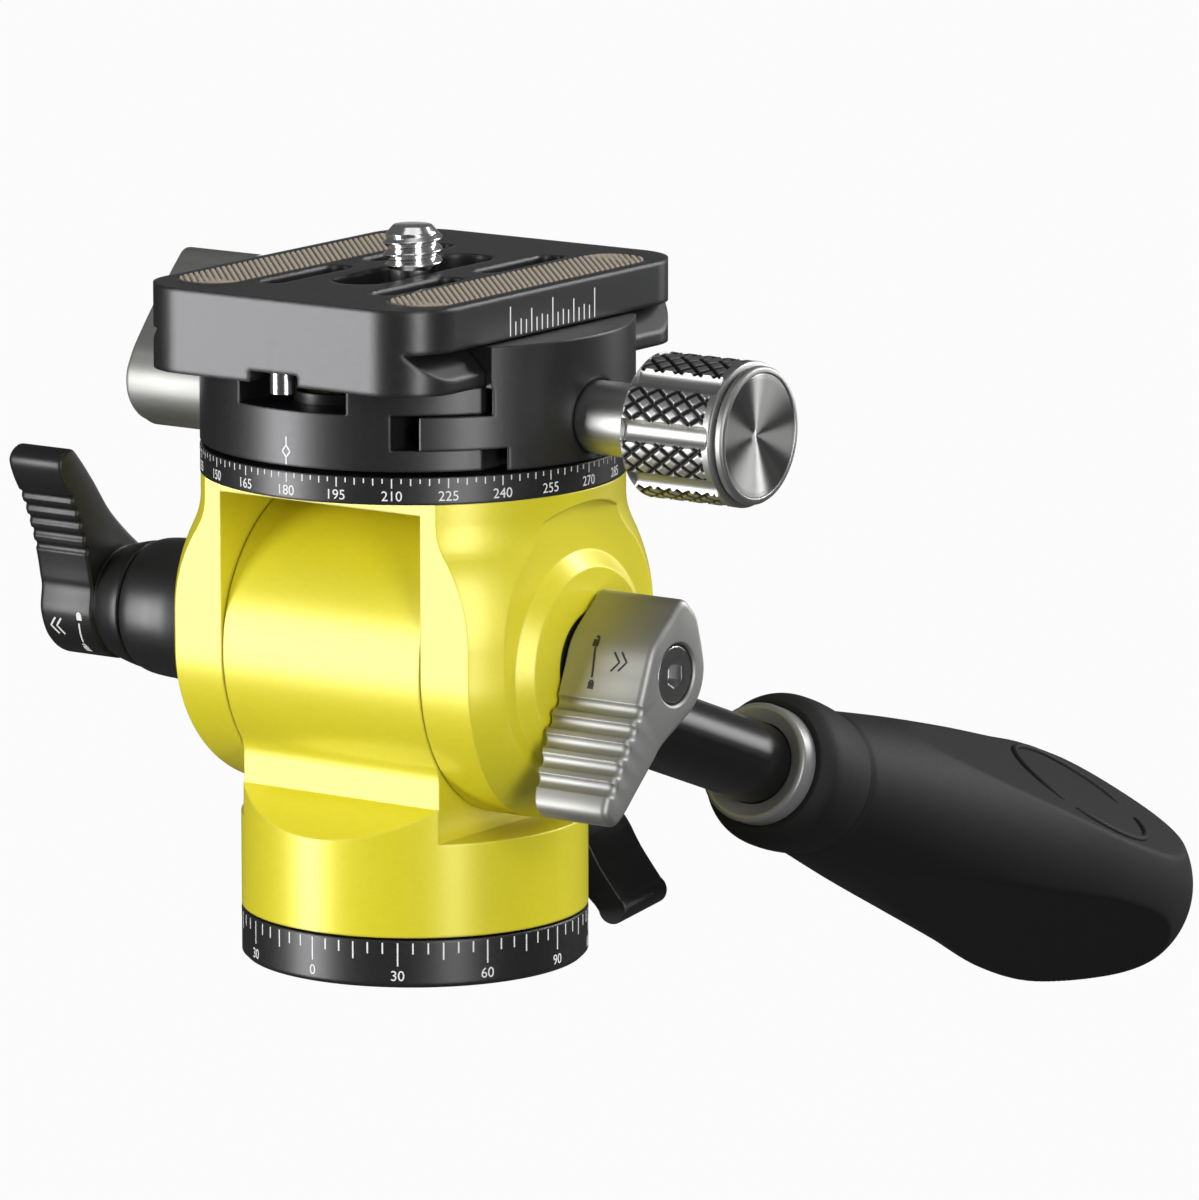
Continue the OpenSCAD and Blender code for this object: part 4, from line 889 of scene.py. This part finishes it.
def padlock(x, z, is_open):
    """A generic padlock: three strokes fill its body, and an arc makes its shackle, raised where it is
    open."""
    size = 0.34
    body = [[(x - size, z - k * size), (x + size, z - k * size)] for k in (0.15, 0.6, 1.05)]
    a = np.linspace(0, np.pi * (0.75 if is_open else 1), 9)
    lift = 0.45 * size if is_open else 0.1 * size
    return body, np.stack([x + 0.62 * size * np.cos(a), z + lift + 0.75 * size * np.sin(a)], 1)


def chevron(x, z, width):
    """One arrow head, its point towards larger X where width is positive."""
    t = np.linspace(-1, 1, 9)
    return np.stack([x + width * (1 - np.abs(t)), z + 0.95 * t], 1)


def lever_sign(outline, bar, run, locks, arrows, arrow_width):
    """A slanting bar between two padlocks, each X, Z and whether it is open, with two arrow heads
    beside it, all laid on the front of a lever. Returns points and faces."""
    thin = [np.array(bar) + np.linspace(0, 1, 12)[:, None] * np.array(run)]
    thick = []
    for lock in locks:
        body, shackle = padlock(*lock)
        thick += body
        thin.append(shackle)
    thin += [chevron(x, z, arrow_width) for x, z in arrows]
    points, quads = strokes(thin, width=0.2)
    more, extra = strokes(thick, width=0.36)
    faces = quads.tolist() + (extra + len(points)).tolist()
    return on_lever(np.concatenate([points, more]), outline), faces


# Operators

class HEAD_OT_finishes(bpy.types.Operator):
    """Make the finishes and put them on the CAD nodes"""

    bl_idname = "head.finishes"
    bl_label = "Finishes"

    def execute(self, context):
        finishes = make_finishes(context.scene.head_colours)
        for subpart in frame["record"]["subparts"]:
            node = frame["nodes"][subpart["node"]]
            material = finishes[OWN_FINISH.get(subpart["node"], subpart["material_slot"])]
            if node.data.materials:
                node.data.materials[0] = material
            else:
                node.data.materials.append(material)
        return {"FINISHED"}


class HEAD_OT_clamp_knob(bpy.types.Operator):
    """Knurled and fluted clamp knob"""

    bl_idname = "head.clamp_knob"
    bl_label = "Clamp knob"

    def execute(self, context):
        sizes = context.scene.head_sizes
        rings, start, end, groove = knob_rings(sizes.knurl_depth / MM, sizes.knurl_length / MM)
        skin = ring_skin(rings, start, end)
        closed_piece("clamp_knob_knurled", skin, "knob", "clamp_knob", "knob_steel", sharp=30,
                     groove=groove)
        return {"FINISHED"}


class HEAD_OT_camera_screw(bpy.types.Operator):
    """Camera screw with its thread"""

    bl_idname = "head.camera_screw"
    bl_label = "Camera screw"

    def execute(self, context):
        skin = ring_skin(*camera_screw_rings(context.scene.head_sizes.thread_pitch / MM))
        closed_piece("camera_screw_threaded", skin, "camera_bolt", "camera_screw", "screw_chrome",
                     sharp=40)
        return {"FINISHED"}


class HEAD_OT_grip_strips(bpy.types.Operator):
    """Ribbed rubber strips in the plate"""

    bl_idname = "head.grip_strips"
    bl_label = "Grip strips"

    def execute(self, context):
        sizes = context.scene.head_sizes
        for side, name in ((-1, "strip_left"), (1, "strip_right")):
            rings, start, end, groove = strip_rings(side, sizes.rib_pitch / MM, sizes.rib_depth / MM)
            skin = ring_skin(rings, start, end)
            closed_piece(name, skin, "plate", "plate_grip_strips", "strip_rubber", sharp=30,
                         groove=groove)
        return {"FINISHED"}


class HEAD_OT_handle_grip(bpy.types.Operator):
    """Rubber grip with three soft-edged flats, and the two ridge arcs on its upper flat"""

    bl_idname = "head.handle_grip"
    bl_label = "Handle grip"

    def execute(self, context):
        closed_piece("grip_rubber_cover", ring_skin(*grip_rings()), "handle", "handle_grip",
                     "grip_rubber", sharp=50)
        for name, first, last in (("grip_arc_inner", -50, 78), ("grip_arc_outer", 98, 300)):
            piece = smooth_piece(name, ring_skin(*arc_rings(first, last)), finish_named("grip_rubber"))
            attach(piece, "handle")
        return {"FINISHED"}


class HEAD_OT_turned_pieces(bpy.types.Operator):
    """Handle ferrule and the collar of the tilt lock"""

    bl_idname = "head.turned_pieces"
    bl_label = "Ferrule and collar"

    def execute(self, context):
        closed_piece("ferrule_dished", ring_skin(ferrule_rings()), "handle", "handle_ferrule",
                     "ferrule_grey")
        closed_piece("collar_flared", ring_skin(collar_rings()), "tilt_yoke", "lock_collar",
                     "black_anodised")
        return {"FINISHED"}


class HEAD_OT_levers(bpy.types.Operator):
    """Drag, panorama and tilt lock levers with bevelled edges"""

    bl_idname = "head.levers"
    bl_label = "Levers"

    def execute(self, context):
        bevel = context.scene.head_sizes.chamfer / MM
        satin_lever("drag_lever_bevelled", "drag_lever", "drag_control", drag_outline(), DRAG_TAIL,
                    TILT_AXIS, way=1, bevel=bevel)
        satin_lever("pano_lever_bevelled", "pano_lever", "pano_lock", pano_outline(), PANO_TAIL,
                    PANO_STUD, way=-1, bevel=bevel)
        hub_lever("lock_lever_bevelled", "lock_lever", "tilt_lock", lock_outline(), TILT_AXIS, bevel)
        return {"FINISHED"}


class HEAD_OT_scales(bpy.types.Operator):
    """Pan scale, panorama scale, index mark and plate scale"""

    bl_idname = "head.scales"
    bl_label = "Scales"

    def execute(self, context):
        height = context.scene.head_sizes.mark_height
        high = box_mm("base_ring")[1]
        labels = [(a, abs(a)) for a in range(-150, 181, 30)]
        steps = [(5, 1.2, 15), (15, 1.85, 30), (30, 2.5, 0)]
        ring_scale("pan_scale", "base", high[0], steps, labels, top=high[2] - 0.25,
                   width=0.16, level=1.35, size=1.55, height=height)
        low, high = box_mm("dial_ring")
        labels = [(a, (a + 180) % 360) for a in range(-180, 180, 15)]
        steps = [(2.5, 0.5, 5), (5, 0.72, 15), (15, 1.0, 0)]
        ring_scale("panorama_scale", "tilt_yoke", high[0], steps, labels, top=low[2] + 2.78,
                   width=0.13, level=low[2] + 0.95, size=1.5, height=height)
        radius = MARK_GAP - box_mm("clamp_body")[0][1]
        middle, line_width = 57.75, 0.17
        diamond = [(0, 0.62), (0.5, 0), (0, -0.62), (-0.5, 0), (0, 0.62)]
        lines = [[(x, middle + z) for x, z in diamond[k:k + 2]] for k in range(4)]
        lines += [[(0, 58.3), (0, 59.3)], [(0, 57.2), (0, 56.35)]]
        points, quads = strokes(lines, line_width)
        mark_piece("index_mark", on_cylinder(points, radius), quads.tolist(), from_axis, "white_mark",
                   "pano_clamp", height)
        side = box_mm("dovetail_plate")[1][0] + MARK_GAP
        first, four_steps, foot, base = -8.7, 3.865, 69.75, 69.3
        lines = []
        for k in range(17):
            y = first + k * four_steps / 4
            rise = {0: 3.6, 4: 2.95}.get(k % 8, 1.9 if k % 2 else 2.1)
            lines.append([(y, foot), (y, base + rise)])
        points, quads = strokes(lines, line_width)
        points = np.column_stack([np.full(len(points), side), points])
        mark_piece("plate_scale", points, quads.tolist(), from_axis, "white_mark", "plate",
                   height)
        return {"FINISHED"}


class HEAD_OT_lever_marks(bpy.types.Operator):
    """Generic lock signs and arrows on the drag and tilt lock levers"""

    bl_idname = "head.lever_marks"
    bl_label = "Lever marks"

    def execute(self, context):
        height = context.scene.head_sizes.mark_height
        points, faces = lever_sign(
            drag_outline()[0], bar=(26.75, 36.9), run=(0.4, -3.0), arrow_width=0.85,
            locks=[(26.65, 37.5, True), (27.2, 33.3, False)], arrows=[(29.3, 35.7), (30.2, 35.8)])
        mark_piece("drag_marks", points, faces, forward, "black_mark", "drag_control",
                   height)
        points, faces = lever_sign(
            lock_outline()[0], bar=(-40.6, 32.2), run=(-0.35, -2.3), arrow_width=-0.8,
            locks=[(-40.45, 33.1, False), (-41.1, 29.2, True)], arrows=[(-43.0, 31.6), (-43.8, 31.6)])
        mark_piece("lock_marks", points, faces, forward, "white_mark", "tilt_lock",
                   height)
        return {"FINISHED"}


# Stage

def placed(right, up, back, place):
    """A matrix with these three directions as its axes, and this place."""
    matrix = np.eye(4)
    matrix[:3] = np.stack([right, up, back, place], 1)
    return Matrix(matrix.tolist())


def studio_light(name, azimuth, elevation, distance, width, height, power):
    """A soft rectangular light that looks at the middle of the part; azimuth runs from the front to the
    right."""
    a, e = np.radians(azimuth), np.radians(elevation)
    back = np.array([np.sin(a) * np.cos(e), -np.cos(a) * np.cos(e), np.sin(e)])
    right = np.array([np.cos(a), np.sin(a), 0])
    light = bpy.data.lights.new(name, "AREA")
    light.shape = "RECTANGLE"
    light.size = width
    light.size_y = height
    light.energy = power
    lamp = bpy.data.objects.new(name, light)
    bpy.context.scene.collection.objects.link(lamp)
    place = np.array(LIT_POINT) + back * distance
    lamp.matrix_world = placed(right, np.cross(back, right), back, place)


def room_strength(tree):
    """What gloss sees of the room: the white backdrop behind the part, and a dim room round the
    camera."""
    place = add_node(tree, "TexCoord")
    toward = add_node(tree, "VectorMath", {1: LOOKING}, {0: place.outputs["Generated"]},
                      operation="DOT_PRODUCT")
    share = add_node(tree, "MapRange", {"From Min": 0.94, "From Max": 0.995, "To Min": 0.1,
                                        "To Max": 1.0},
                     {"Value": toward.outputs["Value"]}, interpolation_type="SMOOTHSTEP")
    return share.outputs["Result"]


def seen_strength(tree, seen, lighting, gloss):
    """A socket that is one strength for what the camera and glass see, another for diffuse light, and
    that of the gloss socket for gloss."""
    path = add_node(tree, "LightPath").outputs
    glossy = add_node(tree, "Mix", {"A": lighting}, {"B": gloss, "Factor": path["Is Glossy Ray"]})
    direct = add_node(tree, "Math", None, {0: path["Is Camera Ray"], 1: path["Is Transmission Ray"]},
                      operation="MAXIMUM")
    share = add_node(tree, "Mix", {"B": seen}, {"Factor": direct.outputs["Value"],
                                                "A": glossy.outputs["Result"]})
    return share.outputs["Result"]


def floor_material():
    """Pale floor: plain white where the camera sees it, with enough of its own shading to keep the
    shadow. Gloss sees a dim table that fades out round the part."""
    material = bpy.data.materials.new("pale_floor")
    material.use_nodes = True
    material.cycles.emission_sampling = "NONE"
    tree = material.node_tree
    shader = tree.nodes["Principled BSDF"]
    place = add_node(tree, "TexCoord")
    reach = add_node(tree, "VectorMath", None, {0: place.outputs["Object"]}, operation="LENGTH")
    table = add_node(tree, "MapRange", {"From Min": 0.2, "From Max": 0.5, "To Min": 0.05,
                                        "To Max": 0.02},
                     {"Value": reach.outputs["Value"]}, interpolation_type="SMOOTHSTEP")
    tone = table.outputs["Result"]
    wire(tree, shader, {"Roughness": 0.9}, {"Base Color": tone})
    glow = add_node(tree, "Emission")
    white = seen_strength(tree, seen=0.97, lighting=0.0, gloss=tone)
    mix = add_node(tree, "MixShader", None, {"Fac": white, 1: shader.outputs["BSDF"],
                                             2: glow.outputs["Emission"]})
    wire(tree, tree.nodes["Material Output"], {}, {"Surface": mix.outputs["Shader"]})
    return material


class HEAD_OT_stage(bpy.types.Operator):
    """Camera at the photograph's angle, pale floor and soft studio light"""

    bl_idname = "head.stage"
    bl_label = "Stage"

    def execute(self, context):
        scene = context.scene
        stage = scene.head_stage
        scene.view_settings.view_transform = "Standard"
        camera = bpy.data.cameras.new("camera")
        camera.sensor_width = 36
        camera.lens = stage.lens
        camera.clip_end = 20
        holder = bpy.data.objects.new("camera", camera)
        scene.collection.objects.link(holder)
        holder.matrix_world = placed(*CAMERA_AXES, CAMERA_PLACE)
        scene.camera = holder
        corners = [(-1, -1), (1, -1), (1, 1), (-1, 1)]
        points = [(x * FLOOR_REACH, y * FLOOR_REACH, -stage.floor_drop) for x, y in corners]
        mesh = bpy.data.meshes.new("floor")
        mesh.from_pydata(points, [], [(0, 1, 2, 3)])
        mesh.materials.append(floor_material())
        floor = bpy.data.objects.new("floor", mesh)
        scene.collection.objects.link(floor)
        world = bpy.data.worlds.new("studio")
        world.use_nodes = True
        world.cycles.sampling_method = "NONE"
        scene.world = world
        tree = world.node_tree
        strength = seen_strength(tree, seen=1.0, lighting=0.68, gloss=room_strength(tree))
        wire(tree, tree.nodes["Background"], {"Color": (1, 1, 1, 1)}, {"Strength": strength})
        for name, place in LIGHTS.items():
            studio_light(name, *place, getattr(stage, name + "_power"))
        return {"FINISHED"}


class HEAD_PT_panel(bpy.types.Panel):
    """Sizes, colours, stage and the operators that build the looks"""

    bl_idname = "HEAD_PT_panel"
    bl_label = "Fluid head"
    bl_space_type = "VIEW_3D"
    bl_region_type = "UI"
    bl_category = "Fluid head"

    def draw(self, context):
        for group in (context.scene.head_sizes, context.scene.head_colours, context.scene.head_stage):
            for name in group.__annotations__:
                self.layout.prop(group, name)
        for operator in OPERATORS:
            self.layout.operator(operator.bl_idname)


GROUPS = (HeadSizes, HeadColours, HeadStage)
OPERATORS = (HEAD_OT_finishes, HEAD_OT_clamp_knob, HEAD_OT_camera_screw, HEAD_OT_grip_strips,
             HEAD_OT_handle_grip, HEAD_OT_turned_pieces, HEAD_OT_levers, HEAD_OT_scales,
             HEAD_OT_lever_marks, HEAD_OT_stage)


def register():
    """Registers the classes and hangs the property groups on the scene."""
    for cls in GROUPS + OPERATORS + (HEAD_PT_panel,):
        bpy.utils.register_class(cls)
    bpy.types.Scene.head_sizes = bpy.props.PointerProperty(type=HeadSizes)
    bpy.types.Scene.head_colours = bpy.props.PointerProperty(type=HeadColours)
    bpy.types.Scene.head_stage = bpy.props.PointerProperty(type=HeadStage)


def unregister():
    """Takes the property groups and classes away again."""
    del bpy.types.Scene.head_stage
    del bpy.types.Scene.head_colours
    del bpy.types.Scene.head_sizes
    for cls in reversed(GROUPS + OPERATORS + (HEAD_PT_panel,)):
        bpy.utils.unregister_class(cls)


def main():
    """Builds the looks in order."""
    register()
    bpy.ops.head.finishes()
    bpy.ops.head.clamp_knob()
    bpy.ops.head.camera_screw()
    bpy.ops.head.grip_strips()
    bpy.ops.head.handle_grip()
    bpy.ops.head.turned_pieces()
    bpy.ops.head.levers()
    bpy.ops.head.scales()
    bpy.ops.head.lever_marks()
    bpy.ops.head.stage()


if __name__ == "__main__":
    main()
